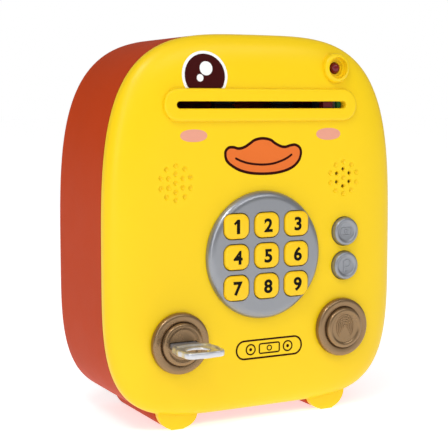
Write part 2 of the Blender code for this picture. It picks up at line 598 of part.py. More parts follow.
def make_key():
    """A flat key lying level in the keyway: a scalloped bow with a window, and a blade."""
    x, z = -RING_AT[0], RING_AT[1]
    bow, window = [], []
    for step in range(40):
        turn = 2 * math.pi * step / 40
        square = abs(math.cos(turn)) ** BOW_POWER + abs(math.sin(turn)) ** BOW_POWER
        reach = BOW_RADIUS / square ** (1 / BOW_POWER) + SCALLOP * math.cos(8 * turn)
        bow.append((reach * math.cos(turn), BOW_Y + reach * math.sin(turn)))
    for step in range(20):
        turn = 2 * math.pi * step / 20
        window.append((6.4 * MM * math.cos(turn), BOW_Y - 0.6 * MM + 5.4 * MM * math.sin(turn)))
    key = add("key", flat(bow, BOW_THICKNESS, [window]), STEEL, KEY, (x, 0, z))
    shank = [(-7.4 * MM, BOW_Y + 9 * MM), (7.4 * MM, BOW_Y + 9 * MM), (7.4 * MM, -6.4 * MM),
             (-7.4 * MM, -6.4 * MM)]
    half = BLADE[0] / 2
    blade = [(-half, -9 * MM), (half, -9 * MM), (half, 2.2 * MM)]
    for tooth in range(3):
        low = (4.0 + 3.6 * tooth) * MM
        notch = half - 1.4 * MM
        blade += [(half, low), (notch, low + 1.0 * MM), (notch, low + 1.8 * MM), (half, low + 2.6 * MM)]
    blade += [(0, BLADE[2] - 5.4 * MM), (-half, BLADE[2] - 8 * MM)]
    pieces = new_collection("key additions", CUTTERS)
    guide("key_shank", flat(shank, BOW_THICKNESS - 0.6 * MM), pieces, (x, 0, z), (0, 0, 0), KEY)
    guide("key_blade", flat(blade, BLADE[1]), pieces, (x, 0, z), (0, 0, 0), KEY)
    boolean(key, 'UNION', pieces)


# ---------------------------------------------------------------- note feed

def gear_mesh(teeth, width, turn, bore=None):
    """A straight-toothed gear with slim teeth, so that a pair runs free."""
    pitch = GEAR_MODULE * teeth / 2
    root, tip = pitch - 0.9 * GEAR_MODULE, pitch + 0.65 * GEAR_MODULE
    step = 2 * math.pi / teeth
    points = []
    for tooth in range(teeth):
        middle = turn + tooth * step
        for reach, share in ((root, -0.26), (tip, -0.11), (tip, 0.11), (root, 0.26)):
            at = middle + share * step
            points.append((reach * math.cos(at), reach * math.sin(at)))
    return flat(points, width, [circle(bore, 12)] if bore else [])


def make_feed():
    middle = (FEED_LEFT + FEED_RIGHT) / 2
    rear = COVER_BACK - COVER_WALL - 1.0 * MM
    front, low, high = 4.8 * MM, 66 * MM, 101.5 * MM
    plate = box((FEED_PLATE, rear - front, high - low), (0, (front + rear) / 2, (low + high) / 2))
    frame = add("feed_frame", plate, GREY, DOOR, (FEED_LEFT + FEED_PLATE / 2, 0, 0))
    additions = new_collection("feed additions", CUTTERS)
    guide("right_plate", plate, additions, (FEED_RIGHT - FEED_PLATE / 2, 0, 0), (0, 0, 0), DOOR)
    for label, bottom, top in (("upper", 97 * MM, high), ("lower", low, 72 * MM)):
        guide(f"{label}_bridge", box((FEED_RIGHT - FEED_LEFT, 1.6 * MM, top - bottom),
                                     (0, rear - 0.8 * MM, (bottom + top) / 2)), additions, (middle, 0, 0),
              (0, 0, 0), DOOR)
    boolean(frame, 'UNION', additions)
    cuts = new_collection("feed cuts", CUTTERS)
    length = (-80 * MM, 80 * MM)
    guide("drive_bore", rod(SHAFT_BORE, *length, 12), cuts, (0, FEED_Y, DRIVE_Z), FACE_LEFT, DOOR)
    guide("idler_bore", rod(SHAFT_BORE, *length, 12), cuts, (0, FEED_Y, IDLER_Z), FACE_LEFT, DOOR)
    guide("motor_bore", rod(2.6 * MM, 40 * MM, 60 * MM, 12), cuts, (0, MOTOR_Y, MOTOR_Z), FACE_LEFT, DOOR)
    boolean(frame, 'DIFFERENCE', cuts)

    motor = [(0, 50.1 * MM), (2.2 * MM, 50.1 * MM), (2.2 * MM, 49.9 * MM), (7.2 * MM, 49.9 * MM),
             (7.5 * MM, 49.4 * MM), (7.5 * MM, 28.5 * MM), (7.0 * MM, 28 * MM), (2.4 * MM, 28 * MM),
             (2.4 * MM, 27 * MM), (0, 27 * MM)]
    turned("feed_motor", motor, STEEL, DOOR, (0, MOTOR_Y, MOTOR_Z), FACE_LEFT, 20)
    towards = math.atan2(MOTOR_Y - FEED_Y, MOTOR_Z - DRIVE_Z)
    phase = towards + math.pi * (1 + 1 / PINION_TEETH)
    centre = (GEAR_X, MOTOR_Y, MOTOR_Z)
    pinion = add("motor_pinion", gear_mesh(PINION_TEETH, 3.4 * MM, phase), BRASS, PINION, centre, FACE_LEFT)
    stub = new_collection("pinion stub", CUTTERS)
    guide("motor_shaft", rod(1.0 * MM, -6.0 * MM, -1.0 * MM, 10), stub, centre, FACE_LEFT, PINION)
    boolean(pinion, 'UNION', stub)
    add("feed_gear", gear_mesh(GEAR_TEETH, 3.0 * MM, towards, SHAFT_BORE), NYLON, DRIVE,
        (GEAR_X, FEED_Y, DRIVE_Z), FACE_LEFT)
    for label, parent, z, end in (("drive", DRIVE, DRIVE_Z, 59 * MM), ("idler", IDLER, IDLER_Z, 54 * MM)):
        shaft = rod(SHAFT_RADIUS, -50 * MM, end, 12)
        add(f"{label}_shaft", shaft, STEEL, parent, (0, FEED_Y, z), FACE_LEFT)
        for side, x in (("left", -18 * MM), ("right", 18 * MM)):
            half, chamfer = 6 * MM, 0.4 * MM
            profile = [(SHAFT_BORE, half), (ROLLER_RADIUS - chamfer, half),
                       (ROLLER_RADIUS, half - chamfer), (ROLLER_RADIUS, chamfer - half),
                       (ROLLER_RADIUS - chamfer, -half), (SHAFT_BORE, -half)]
            turned(f"{label}_roller_{side}", profile, RUBBER, parent, (x, FEED_Y, z), FACE_LEFT, 16)


# ---------------------------------------------------------------- electronics

def make_boards():
    left, right, low, high = -34 * MM, 61 * MM, -21.5 * MM, 34 * MM
    add("main_board", flat(rounded(right - left, high - low, 2 * MM, 2), 1.6 * MM), BOARD, DOOR,
        ((left + right) / 2, 9.0 * MM, (low + high) / 2), FACE_FRONT)
    add("keypad_mat", flat(rounded(56 * MM, 50 * MM, 4 * MM, 3), 0.8 * MM), RUBBER, DOOR,
        (0, 7.4 * MM, PAD_AT[1]), FACE_FRONT)
    add("print_board", flat(rounded(20 * MM, 15 * MM, 2 * MM, 2), 1.6 * MM), BOARD, DOOR,
        (RING_AT[0], 9.0 * MM, RING_AT[1]), FACE_FRONT)
    speaker = [(0, -3.0 * MM), (8.5 * MM, -3.0 * MM), (12.0 * MM, -2.7 * MM), (14.5 * MM, -2.7 * MM),
               (14.5 * MM, -5.0 * MM), (8.0 * MM, -7.0 * MM), (8.0 * MM, -9.4 * MM), (0, -9.4 * MM)]
    turned("speaker", speaker, STEEL, DOOR, (GRILLE_AT[0], 0, GRILLE_AT[1]), FACE_FRONT, 24)
    lens = [(0, 0.4 * MM), (1.4 * MM, 0.2 * MM), (2.4 * MM, -0.6 * MM), (2.9 * MM, -1.8 * MM),
            (2.9 * MM, -4.6 * MM), (0, -4.6 * MM)]
    turned("eye_lens", lens, LENS, DOOR, (LENS_AT[0], 0, LENS_AT[1]), FACE_FRONT, 20)
    add("note_sensor", box((6 * MM, 4 * MM, 3.0 * MM)), LENS, DOOR, (42.5 * MM, 5.4 * MM, SLOT_Z))
    add("sensor_mount", box((2.6 * MM, 4 * MM, 6.0 * MM)), BOARD, DOOR, (49.8 * MM, 5.4 * MM, SLOT_Z))


def make_batteries():
    half_x, half_z = TRAY_HALF
    inner_x, inner_z = half_x - TRAY_WALL, half_z - TRAY_WALL
    depth = TRAY_BACK - TRAY_FRONT
    tray = add("battery_tray", box((2 * half_x, depth, 2 * half_z)), GREY, DOOR,
               (0, (TRAY_FRONT + TRAY_BACK) / 2, TRAY_Z))
    additions = new_collection("tray additions", CUTTERS)
    post_z = TRAY_Z + half_z + 2.4 * MM
    post = rod(2.6 * MM, -TRAY_BACK, -TRAY_FRONT, 12)
    guide("tray_post", post, additions, (0, 0, post_z), FACE_FRONT, DOOR)
    boolean(tray, 'UNION', additions)
    cuts = new_collection("tray cuts", CUTTERS)
    guide("tray_hollow", box((2 * inner_x, depth, 2 * inner_z)), cuts,
          (0, (TRAY_FRONT + TRAY_BACK) / 2 + TRAY_WALL, TRAY_Z), (0, 0, 0), DOOR)
    hole = rod(1.3 * MM, -TRAY_BACK - 1 * MM, -14 * MM, 10)
    guide("tray_post_hole", hole, cuts, (0, 0, post_z), FACE_FRONT, DOOR)
    boolean(tray, 'DIFFERENCE', cuts)

    centre_y = TRAY_BACK - 7.2 * MM
    nub = 1.0 * MM
    top = inner_x - 1.3 * MM
    cell = [(0, top), (2.6 * MM, top), (2.6 * MM, top - nub), (CELL_RADIUS - 0.6 * MM, top - nub),
            (CELL_RADIUS, top - nub - 0.6 * MM), (CELL_RADIUS, top - CELL_LENGTH + 0.4 * MM),
            (CELL_RADIUS - 0.4 * MM, top - CELL_LENGTH), (0, top - CELL_LENGTH)]
    for number in (1, 2, 3):
        side = 1 if number == 2 else -1
        z = TRAY_Z + (number - 2) * CELL_PITCH
        turned(f"battery_{number}", cell, CELL, DOOR, (0, centre_y, z), (0, side * math.pi / 2, 0), 20)
        start, finish_x = CELL_LENGTH - top + 0.3 * MM, inner_x - 0.9 * MM
        add(f"battery_spring_{number}", spring_mesh(start, finish_x), STEEL, DOOR,
            (0, centre_y, z), (0, -side * math.pi / 2, 0))
    for label, side in (("left", -1), ("right", 1)):
        add(f"contact_strip_{label}", box((0.4 * MM, 9 * MM, 2 * inner_z - 1 * MM)), STEEL, DOOR,
            (side * (inner_x - 0.5 * MM), centre_y, TRAY_Z))

    lid = add("battery_cover", flat(rounded(60.2 * MM, 50.2 * MM, 1.6 * MM, 2), COVER_WALL), CREAM, DOOR,
              (0, COVER_BACK - COVER_WALL / 2, TRAY_Z + 2.4 * MM), FACE_FRONT)
    holes = new_collection("lid cuts", CUTTERS)
    guide("lid_hole", rod(1.5 * MM, -30 * MM, -24 * MM, 12), holes, (0, 0, post_z), FACE_FRONT, DOOR)
    boolean(lid, 'DIFFERENCE', holes)
    screw = [(0, -15 * MM), (1.0 * MM, -15 * MM), (1.0 * MM, -28.3 * MM), (2.4 * MM, -28.4 * MM),
             (2.0 * MM, -29.6 * MM), (0, -29.6 * MM)]
    turned("battery_screw", screw, STEEL, DOOR, (0, 0, post_z), FACE_FRONT, 12)


def spring_mesh(low, high):
    """A short contact spring along Z."""
    turns, per_turn, radius, wire = 2.5, 8, 2.8 * MM, 0.3 * MM
    curve = bpy.data.curves.new("spring", 'CURVE')
    curve.dimensions = '3D'
    curve.bevel_depth = wire
    curve.bevel_resolution = 0
    curve.use_fill_caps = True
    spline = curve.splines.new('POLY')
    count = int(turns * per_turn)
    spline.points.add(count)
    for step, knot in enumerate(spline.points):
        turn = 2 * math.pi * step / per_turn
        rise = low + wire + (high - low - 2 * wire) * step / count
        knot.co = (radius * math.cos(turn), radius * math.sin(turn), rise, 1)
    holder = bpy.data.objects.new("spring", curve)
    CUTTERS.objects.link(holder)
    seen = holder.evaluated_get(bpy.context.evaluated_depsgraph_get())
    mesh = bpy.data.meshes.new_from_object(seen)
    bpy.data.objects.remove(holder, do_unlink=True)
    shape = bmesh.new()
    shape.from_mesh(mesh)
    bmesh.ops.remove_doubles(shape, verts=shape.verts, dist=0.001 * MM)
    bmesh.ops.recalc_face_normals(shape, faces=shape.faces)
    shape.to_mesh(mesh)
    shape.free()
    return mesh


# ---------------------------------------------------------------- build

clear_scene()
PARTS = new_collection("toy_cash_machine_bank")
CUTTERS = new_collection("cutters")

RED = finish("red_plastic", (0.52, 0.075, 0.022), 0.42)
YELLOW = finish("yellow_plastic", (0.87, 0.58, 0.02), 0.38)
CREAM = finish("cream_plastic", (0.72, 0.62, 0.42), 0.5)
SILVER = finish("silver_plastic", (0.30, 0.31, 0.33), 0.32, 0.55)
GOLD = finish("gold_plastic", (0.42, 0.24, 0.09), 0.34, 0.7)
STEEL = finish("steel", (0.60, 0.60, 0.62), 0.28, 1.0)
BRASS = finish("brass", (0.72, 0.50, 0.18), 0.3, 1.0)
NYLON = finish("nylon", (0.85, 0.84, 0.80), 0.5)
RUBBER = finish("rubber", (0.03, 0.03, 0.03), 0.7)
GREY = finish("grey_plastic", (0.16, 0.16, 0.17), 0.5)
BOARD = finish("circuit_board", (0.02, 0.18, 0.07), 0.4)
LENS = finish("dark_red_lens", (0.12, 0.01, 0.02), 0.12)
CELL = finish("battery_jacket", (0.10, 0.22, 0.42), 0.3, 0.3)

ROOT = empty_at("bank", (0, 0, 0))
ROOT.location = TO_ORIGIN
DOOR = empty_at("door_hinge", (HINGE_X, HINGE_Y, HINGE_Z), ROOT)
ROTOR = empty_at("lock_turn", (-RING_AT[0], 0, RING_AT[1]), DOOR)
KEY = empty_at("key_slide", (-RING_AT[0], 0, RING_AT[1]), ROTOR)
PINION = empty_at("pinion_spin", (GEAR_X, MOTOR_Y, MOTOR_Z), DOOR)
DRIVE = empty_at("drive_spin", (GEAR_X, FEED_Y, DRIVE_Z), DOOR)
IDLER = empty_at("idler_spin", (0, FEED_Y, IDLER_Z), DOOR)

make_case()
make_strike()
make_door()
make_inner_cover()
make_keypad()
make_buttons()
make_trim_ring("lock_ring", (-RING_AT[0], RING_AT[1]))
make_trim_ring("print_ring", RING_AT)
make_lock()
make_key()
make_feed()
make_boards()
make_batteries()
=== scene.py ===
"""Looks of a toy cash machine bank: moulded shells, keypad, lock, key and face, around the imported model.

Shapes are written in millimetres in the bank's own frame: x = 0 is the middle of the face, y = 0 is the
face plane and z = 0 is the widest level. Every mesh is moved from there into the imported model's frame.
"""
import json
import math

import bmesh
import bpy
from mathutils import Matrix, Vector


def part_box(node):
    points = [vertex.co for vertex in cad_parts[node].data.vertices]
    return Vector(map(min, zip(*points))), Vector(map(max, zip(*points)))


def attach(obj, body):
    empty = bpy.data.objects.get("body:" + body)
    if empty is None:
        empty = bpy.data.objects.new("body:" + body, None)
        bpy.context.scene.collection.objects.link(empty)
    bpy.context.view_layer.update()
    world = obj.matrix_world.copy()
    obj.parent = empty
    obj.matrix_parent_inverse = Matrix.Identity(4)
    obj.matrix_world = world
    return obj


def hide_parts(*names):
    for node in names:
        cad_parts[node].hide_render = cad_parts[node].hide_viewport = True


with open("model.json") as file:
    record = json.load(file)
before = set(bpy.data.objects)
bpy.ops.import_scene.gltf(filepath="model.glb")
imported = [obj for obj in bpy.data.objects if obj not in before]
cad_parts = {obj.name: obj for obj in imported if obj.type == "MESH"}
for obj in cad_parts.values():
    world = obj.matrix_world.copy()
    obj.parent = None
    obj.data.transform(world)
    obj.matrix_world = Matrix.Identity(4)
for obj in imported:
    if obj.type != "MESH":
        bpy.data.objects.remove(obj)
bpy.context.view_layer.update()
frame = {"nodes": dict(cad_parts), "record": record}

MM = 0.001

# The frame of the face, from the keypad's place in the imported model
PAD_Z, PAD_PROUD, PAD_RADIUS = 11.0, 4.5, 34.2
pad_low, pad_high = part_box("keypad_bezel")
ORIGIN = Vector(((pad_low.x + pad_high.x) / 2, pad_low.y + PAD_PROUD * MM,
                 (pad_low.z + pad_high.z) / 2 - PAD_Z * MM))


def node_middle(node):
    """A node's middle in the bank's own frame, in millimetres."""
    low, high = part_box(node)
    return ((low + high) / 2 - ORIGIN) / MM


# Outline and shells
HALF_WIDTH, RISE, DROP, DEPTH = 87.5, 127.6, 74.2, 78.0
UPPER_POWERS, LOWER_POWERS = (3.67, 3.74), (5.10, 3.19)
DOOR_REAR, CASE_FRONT = 12.35, 12.85
DOOR_WALL, CASE_WALL = 2.2, 2.4
EDGE_REACH, EDGE_DEPTH, EDGE_POWER = 30.0, 11.15, 2.4
BACK_EDGE = 6.0
COVER_INSET, COVER_FRONT, COVER_BACK, COVER_WALL = 10.0, 5.6, 28.0, 1.6
FOOT_DROP, FOOT_X, FOOT_HALF = 80.8, 46.6, 11.6
HINGE = (90.6, 21.0, 5.0)
CASE_KNUCKLES, DOOR_KNUCKLES = ((-32, -22), (-5, 5), (22, 32)), ((-21.6, -5.4), (5.4, 21.6))
PIN_BORE, PIN_REACH = 1.4, 40
COIN_SLOT_Y = 50
TRAY_DROP, LID_RISE = 38.3, 2.4
SLOT_Z = 90.5
OUTLINE_POINTS = 144

SCREW_POSTS = ((-68, 66), (68, 70), (-68, -6), (68, -6))
LENS_AT = (45.5, 110.4)
GRILLE_AT = (51.0, 50.7)
RING_AT = (49.6, -32.3)
BUTTON_AT = ((51.6, 21.0), (51.6, 2.0))


# ---------------------------------------------------------------- mesh helpers

def linked(name, data):
    """A new object in the scene."""
    item = bpy.data.objects.new(name, data)
    bpy.context.scene.collection.objects.link(item)
    return item


def to_object(name, shape, material, angle=32):
    """Finish a bmesh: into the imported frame, in metres, smooth apart from its sharp edges."""
    bmesh.ops.recalc_face_normals(shape, faces=shape.faces)
    bmesh.ops.transform(shape, matrix=Matrix.Translation(ORIGIN) @ Matrix.Scale(MM, 4), verts=shape.verts)
    mesh = bpy.data.meshes.new(name)
    shape.to_mesh(mesh)
    shape.free()
    item = linked(name, mesh)
    if material:
        mesh.materials.append(material)
    smooth(item, angle)
    return item


def smooth(item, angle=32):
    item.data.shade_smooth()
    item.data.set_sharp_from_angle(angle=math.radians(angle))


def apply(item):
    """Bake an object's modifiers into its mesh."""
    seen = item.evaluated_get(bpy.context.evaluated_depsgraph_get())
    mesh = bpy.data.meshes.new_from_object(seen)
    item.modifiers.clear()
    old, item.data = item.data, mesh
    bpy.data.meshes.remove(old)
    return item


def weighted(item):
    change = item.modifiers.new("Weighted", 'WEIGHTED_NORMAL')
    change.keep_sharp = True
    change.weight = 60
    return item


def combine(item, operation, tools):
    """Join or cut with a list of tool objects, then remove them."""
    group = bpy.data.collections.new("tools")
    bpy.context.scene.collection.children.link(group)
    for tool in tools:
        group.objects.link(tool)
        for user in list(tool.users_collection):
            if user != group:
                user.objects.unlink(tool)
    change = item.modifiers.new("Combine", 'BOOLEAN')
    change.operation = operation
    change.solver = 'EXACT'
    change.operand_type = 'COLLECTION'
    change.collection = group
    apply(item)
    for tool in tools:
        bpy.data.objects.remove(tool, do_unlink=True)
    bpy.data.collections.remove(group)
    smooth(item)
    return item


def loft(rings, close_first=True, close_last=True, loop=False):
    """Skin closed rings of equal length; a ring of one point is a tip."""
    shape = bmesh.new()
    rows = [[shape.verts.new(point) for point in ring] for ring in rings]
    pairs = list(zip(rows, rows[1:]))
    if loop:
        pairs.append((rows[-1], rows[0]))
    for row, following in pairs:
        count = max(len(row), len(following))
        for i in range(count):
            j = (i + 1) % count
            if len(row) == 1:
                shape.faces.new((row[0], following[i], following[j]))
            elif len(following) == 1:
                shape.faces.new((row[i], following[0], row[j]))
            else:
                shape.faces.new((row[i], following[i], following[j], row[j]))
    if not loop:
        if close_first and len(rows[0]) > 2:
            shape.faces.new(rows[0])
        if close_last and len(rows[-1]) > 2:
            shape.faces.new(list(reversed(rows[-1])))
    return shape


def fillet(points, radius, steps=4):
    """Round the inner corners of an open line of points."""
    made = [points[0]]
    for before, corner, after in zip(points, points[1:], points[2:]):
        a, b, c = Vector(before), Vector(corner), Vector(after)
        reach = min(radius, (a - b).length * 0.45, (c - b).length * 0.45)
        start, end = b + (a - b).normalized() * reach, b + (c - b).normalized() * reach
        for step in range(steps + 1):
            t = step / steps
            made.append(tuple((1 - t) ** 2 * start + 2 * t * (1 - t) * b + t * t * end))
    made.append(points[-1])
    return made


def lathe(name, profile, at, material, radius=0.4, steps=64, rounding=3, angle=32):
    """Turn a (radius, height) line about the axis that looks forward from the face at (x, z)."""
    line = fillet(profile, radius, rounding) if radius else profile
    rings = []
    for reach, height in line:
        if reach < 1e-6:
            rings.append([(at[0], -height, at[1])])
        else:
            rings.append([(at[0] + reach * math.cos(2 * math.pi * i / steps), -height,
                           at[1] + reach * math.sin(2 * math.pi * i / steps)) for i in range(steps)])
    closed = profile[0][0] > 0
    return to_object(name, loft(rings, loop=closed), material, angle)


def stadium(width, height, corner, steps=10):
    """A rounded rectangle as a ring of (x, z)."""
    points = []
    for quarter, (side, end) in enumerate(((1, 1), (-1, 1), (-1, -1), (1, -1))):
        for step in range(steps + 1):
            turn = math.pi / 2 * (quarter + step / steps)
            points.append((side * (width / 2 - corner) + corner * math.cos(turn),
                           end * (height / 2 - corner) + corner * math.sin(turn)))
    return points


def block(name, size, corner, profile, at, material, steps=10, radius=0.0, angle=32):
    """A rounded rectangle whose (inset, height) profile runs from its back to its front."""
    width, height = size
    line = fillet(profile, radius, 3) if radius else profile
    rings = []
    for inset, forward in line:
        ring = stadium(width - 2 * inset, height - 2 * inset, max(corner - inset, 0.05), steps)
        rings.append([(at[0] + x, -forward, at[1] + z) for x, z in ring])
    return to_object(name, loft(rings), material, angle)


def outline(inset, count=OUTLINE_POINTS):
    """The front outline as (x, z): a superellipse with its own powers above and below."""
    points = []
    for step in range(count):
        turn = 2 * math.pi * step / count
        across, up = math.cos(turn), math.sin(turn)
        reach, powers = (RISE, UPPER_POWERS) if up >= 0 else (DROP, LOWER_POWERS)
        points.append(((HALF_WIDTH - inset) * math.copysign(abs(across) ** (2 / powers[0]), across),
                       (reach - inset) * math.copysign(abs(up) ** (2 / powers[1]), up)))
    return points


def inset_of(x, z):
    """How far inside the outline a point of the face lies."""
    reach, powers = (RISE, UPPER_POWERS) if z >= 0 else (DROP, LOWER_POWERS)
    low, high = 0.0, min(HALF_WIDTH - abs(x), reach - abs(z))
    for _ in range(40):
        middle = (low + high) / 2
        level = (abs(x) / (HALF_WIDTH - middle)) ** powers[0] + (abs(z) / (reach - middle)) ** powers[1]
        low, high = (low, middle) if level > 1 else (middle, high)
    return (low + high) / 2


def face_depth(x, z):
    """Depth of the door's surface behind the face plane at (x, z)."""
    inset = inset_of(x, z)
    if inset >= EDGE_REACH:
        return 0.0
    share = ((EDGE_REACH - inset) / EDGE_REACH) ** EDGE_POWER
    return EDGE_DEPTH * (1 - (1 - share) ** (1 / EDGE_POWER))


def soft_section(reach, depth, power, steps):
    """(inset, height) along a superelliptic edge."""
    turns = [math.pi / 2 * step / steps for step in range(steps + 1)]
    return [(reach * (1 - math.cos(t) ** (2 / power)), depth * math.sin(t) ** (2 / power)) for t in turns]


def shell(name, sections, wall, material, front=True):
    """A walled shell on the outline, open at one end: (inset, y) from the open end to the closed one."""
    rings = [[(x, y, z) for x, z in outline(inset)] for inset, y in sections]
    item = to_object(name, loft(rings, close_first=False), material)
    shape = bmesh.new()
    shape.from_mesh(item.data)
    bmesh.ops.recalc_face_normals(shape, faces=shape.faces)
    middle = max(shape.faces, key=lambda face: len(face.verts))
    if (middle.normal.y < 0) != front:
        bmesh.ops.reverse_faces(shape, faces=shape.faces)
    shape.to_mesh(item.data)
    shape.free()
    change = item.modifiers.new("Wall", 'SOLIDIFY')
    change.thickness = wall * MM
    change.offset = -1
    change.use_even_offset = True
    return apply(item)


def rod(radius, start, end, steps=32):
    """A round bar between two points."""
    a, b = Vector(start), Vector(end)
    shape = bmesh.new()
    turn = (b - a).to_track_quat('Z', 'Y').to_matrix().to_4x4()
    bmesh.ops.create_cone(shape, cap_ends=True, segments=steps, radius1=radius, radius2=radius,
                          depth=(b - a).length, matrix=Matrix.Translation((a + b) / 2) @ turn)
    return to_object("rod", shape, None)


def hole(at, radius, front, back, steps=32):
    """A straight round cutter through the face at (x, z)."""
    return rod(radius, (at[0], front, at[1]), (at[0], back, at[1]), steps)


def prism(name, points, low, high, axis='Y', material=None):
    """A straight piece with an outline of two coordinates, along the third."""
    def place(a, b, level):
        return {'X': (level, a, b), 'Y': (a, level, b), 'Z': (a, b, level)}[axis]
    rings = [[place(a, b, level) for a, b in points] for level in (low, high)]
    return to_object(name, loft(rings), material)


def bevelled(item, width, segments=4, angle=40):
    change = item.modifiers.new("Bevel", 'BEVEL')
    change.width = width * MM
    change.segments = segments
    change.limit_method = 'ANGLE'
    change.angle_limit = math.radians(angle)
    return apply(item)


# ---------------------------------------------------------------- materials

def plastic(name, colour, rough=0.36, grain=0.02, grain_scale=1800, shift=0.05, coat=0.0, metallic=0.0,
            ripple=0.0, specular=0.22, scatter=0.0):
    """Moulded or painted surface: fine texture, slow colour and gloss changes, optional mould ripple."""
    made = bpy.data.materials.new(name)
    made.use_nodes = True
    nodes, links = made.node_tree.nodes, made.node_tree.links
    shader = nodes["Principled BSDF"]
    place = nodes.new("ShaderNodeTexCoord").outputs["Object"]

    def noise(scale, detail, rough_level=0.5):
        made_noise = nodes.new("ShaderNodeTexNoise")
        made_noise.inputs["Scale"].default_value = scale
        made_noise.inputs["Detail"].default_value = detail
        made_noise.inputs["Roughness"].default_value = rough_level
        links.new(place, made_noise.inputs["Vector"])
        return made_noise.outputs["Fac"]

    slow, fine = noise(22, 3), noise(grain_scale, 2)
    mix = nodes.new("ShaderNodeMix")
    mix.data_type = 'RGBA'
    mix.inputs["A"].default_value = (*[channel * (1 - shift) for channel in colour], 1)
    mix.inputs["B"].default_value = (*[min(1, channel * (1 + shift)) for channel in colour], 1)
    links.new(slow, mix.inputs["Factor"])
    links.new(mix.outputs["Result"], shader.inputs["Base Color"])

    gloss = nodes.new("ShaderNodeMapRange")
    gloss.inputs["To Min"].default_value = rough - 0.05
    gloss.inputs["To Max"].default_value = rough + 0.07
    links.new(noise(60, 4, 0.6), gloss.inputs["Value"])
    links.new(gloss.outputs["Result"], shader.inputs["Roughness"])

    bump = nodes.new("ShaderNodeBump")
    bump.inputs["Strength"].default_value = 0.5
    bump.inputs["Distance"].default_value = grain * MM
    links.new(fine, bump.inputs["Height"])
    if ripple:
        wide = nodes.new("ShaderNodeBump")
        wide.inputs["Strength"].default_value = 0.6
        wide.inputs["Distance"].default_value = ripple * MM
        links.new(noise(35, 2), wide.inputs["Height"])
        links.new(wide.outputs["Normal"], bump.inputs["Normal"])
    links.new(bump.outputs["Normal"], shader.inputs["Normal"])
    shader.inputs["Metallic"].default_value = metallic
    shader.inputs["Specular IOR Level"].default_value = specular
    shader.inputs["Coat Weight"].default_value = coat
    shader.inputs["Coat Roughness"].default_value = 0.12
    if scatter:
        shader.inputs["Subsurface Weight"].default_value = scatter
        shader.inputs["Subsurface Radius"].default_value = (1.0, 0.5, 0.15)
        shader.inputs["Subsurface Scale"].default_value = 0.002
    made.diffuse_color = (*colour, 1)
    return made


RED = plastic("red_moulding", (0.49, 0.046, 0.004), 0.45, 0.03, 2400, 0.05, ripple=0.05, specular=0.05)
YELLOW = plastic("yellow_moulding", (0.88, 0.595, 0.006), 0.33, 0.016, 2400, 0.02, ripple=0.03, specular=0.26)
KEY_YELLOW = plastic("yellow_key_cap", (0.90, 0.565, 0.012), 0.30, 0.012, 2600, 0.03)
SILVER = plastic("silver_spray", (0.29, 0.30, 0.325), 0.29, 0.004, 3600, 0.05, metallic=0.7, specular=0.4)
GOLD = plastic("gold_spray", (0.28, 0.18, 0.095), 0.27, 0.005, 3600, 0.06, metallic=0.8, specular=0.4)
CREAM = plastic("cream_moulding", (0.74, 0.64, 0.44), 0.48, 0.03, 2200, 0.04)
GREY = plastic("grey_moulding", (0.11, 0.11, 0.12), 0.5, 0.03, 2200, 0.05)
RUBBER = plastic("black_rubber", (0.02, 0.02, 0.022), 0.7, 0.05, 1500, 0.1)
STEEL = plastic("zinc_steel", (0.62, 0.63, 0.65), 0.27, 0.012, 900, 0.06, metallic=1.0)
NICKEL = plastic("nickel_plate", (0.60, 0.61, 0.65), 0.30, 0.02, 500, 0.03, metallic=0.75, specular=0.5)
BRASS = plastic("turned_brass", (0.72, 0.48, 0.16), 0.28, 0.012, 1400, 0.06, metallic=1.0)
NYLON = plastic("natural_nylon", (0.80, 0.79, 0.74), 0.45, 0.02, 1800, 0.03, scatter=0.2)
BOARD = plastic("solder_mask", (0.012, 0.16, 0.055), 0.3, 0.03, 700, 0.2, coat=0.3)
LENS = plastic("dark_red_lens", (0.16, 0.006, 0.012), 0.12, 0.002, 900, 0.1, coat=0.35)
JACKET = plastic("cell_jacket", (0.07, 0.16, 0.36), 0.28, 0.01, 1200, 0.08, coat=0.4, metallic=0.3)
INK = plastic("black_ink", (0.008, 0.007, 0.006), 0.5, 0.01, 2400, 0.1, specular=0.05)
BROWN = plastic("dark_brown_ink", (0.03, 0.003, 0.002), 0.5, 0.01, 2400, 0.08, specular=0.05)
EYE_BROWN = plastic("eye_brown_ink", (0.045, 0.004, 0.004), 0.5, 0.01, 2400, 0.1, specular=0.06)
WHITE = plastic("white_ink", (0.86, 0.86, 0.85), 0.36, 0.01, 2400, 0.02)
ORANGE = plastic("orange_ink", (0.74, 0.155, 0.022), 0.38, 0.01, 2400, 0.06)
BLUSH = plastic("blush_ink", (0.74, 0.33, 0.24), 0.42, 0.01, 2400, 0.04)

SLOT_LOOKS = {"red_shell": RED, "yellow_shell": YELLOW, "yellow_keys": KEY_YELLOW, "cream_plastic": CREAM,
              "silver_trim": SILVER, "gold_trim": GOLD, "steel": STEEL, "key_metal": NICKEL, "brass": BRASS,
              "nylon": NYLON, "roller_rubber": RUBBER, "grey_plastic": GREY, "circuit_board": BOARD,
              "dark_lens": LENS, "cell_jacket": JACKET}
NODE_SLOT = {part["node"]: part["material_slot"] for part in frame["record"]["subparts"]}
for node, item in frame["nodes"].items():
    item.data.materials.clear()
    item.data.materials.append(SLOT_LOOKS[NODE_SLOT[node]])


def show(item, body, node=None):
    """A piece rides on its body and, when a node is given, stands for that node, which is hidden."""
    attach(item, body)
    if node:
        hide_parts(node)
    return item


# ---------------------------------------------------------------- feet and hinge arms

def floor_level(x, inset):
    share = (abs(x) / (HALF_WIDTH - inset)) ** LOWER_POWERS[0]
    return -(DROP - inset) * (1 - share) ** (1 / LOWER_POWERS[1])


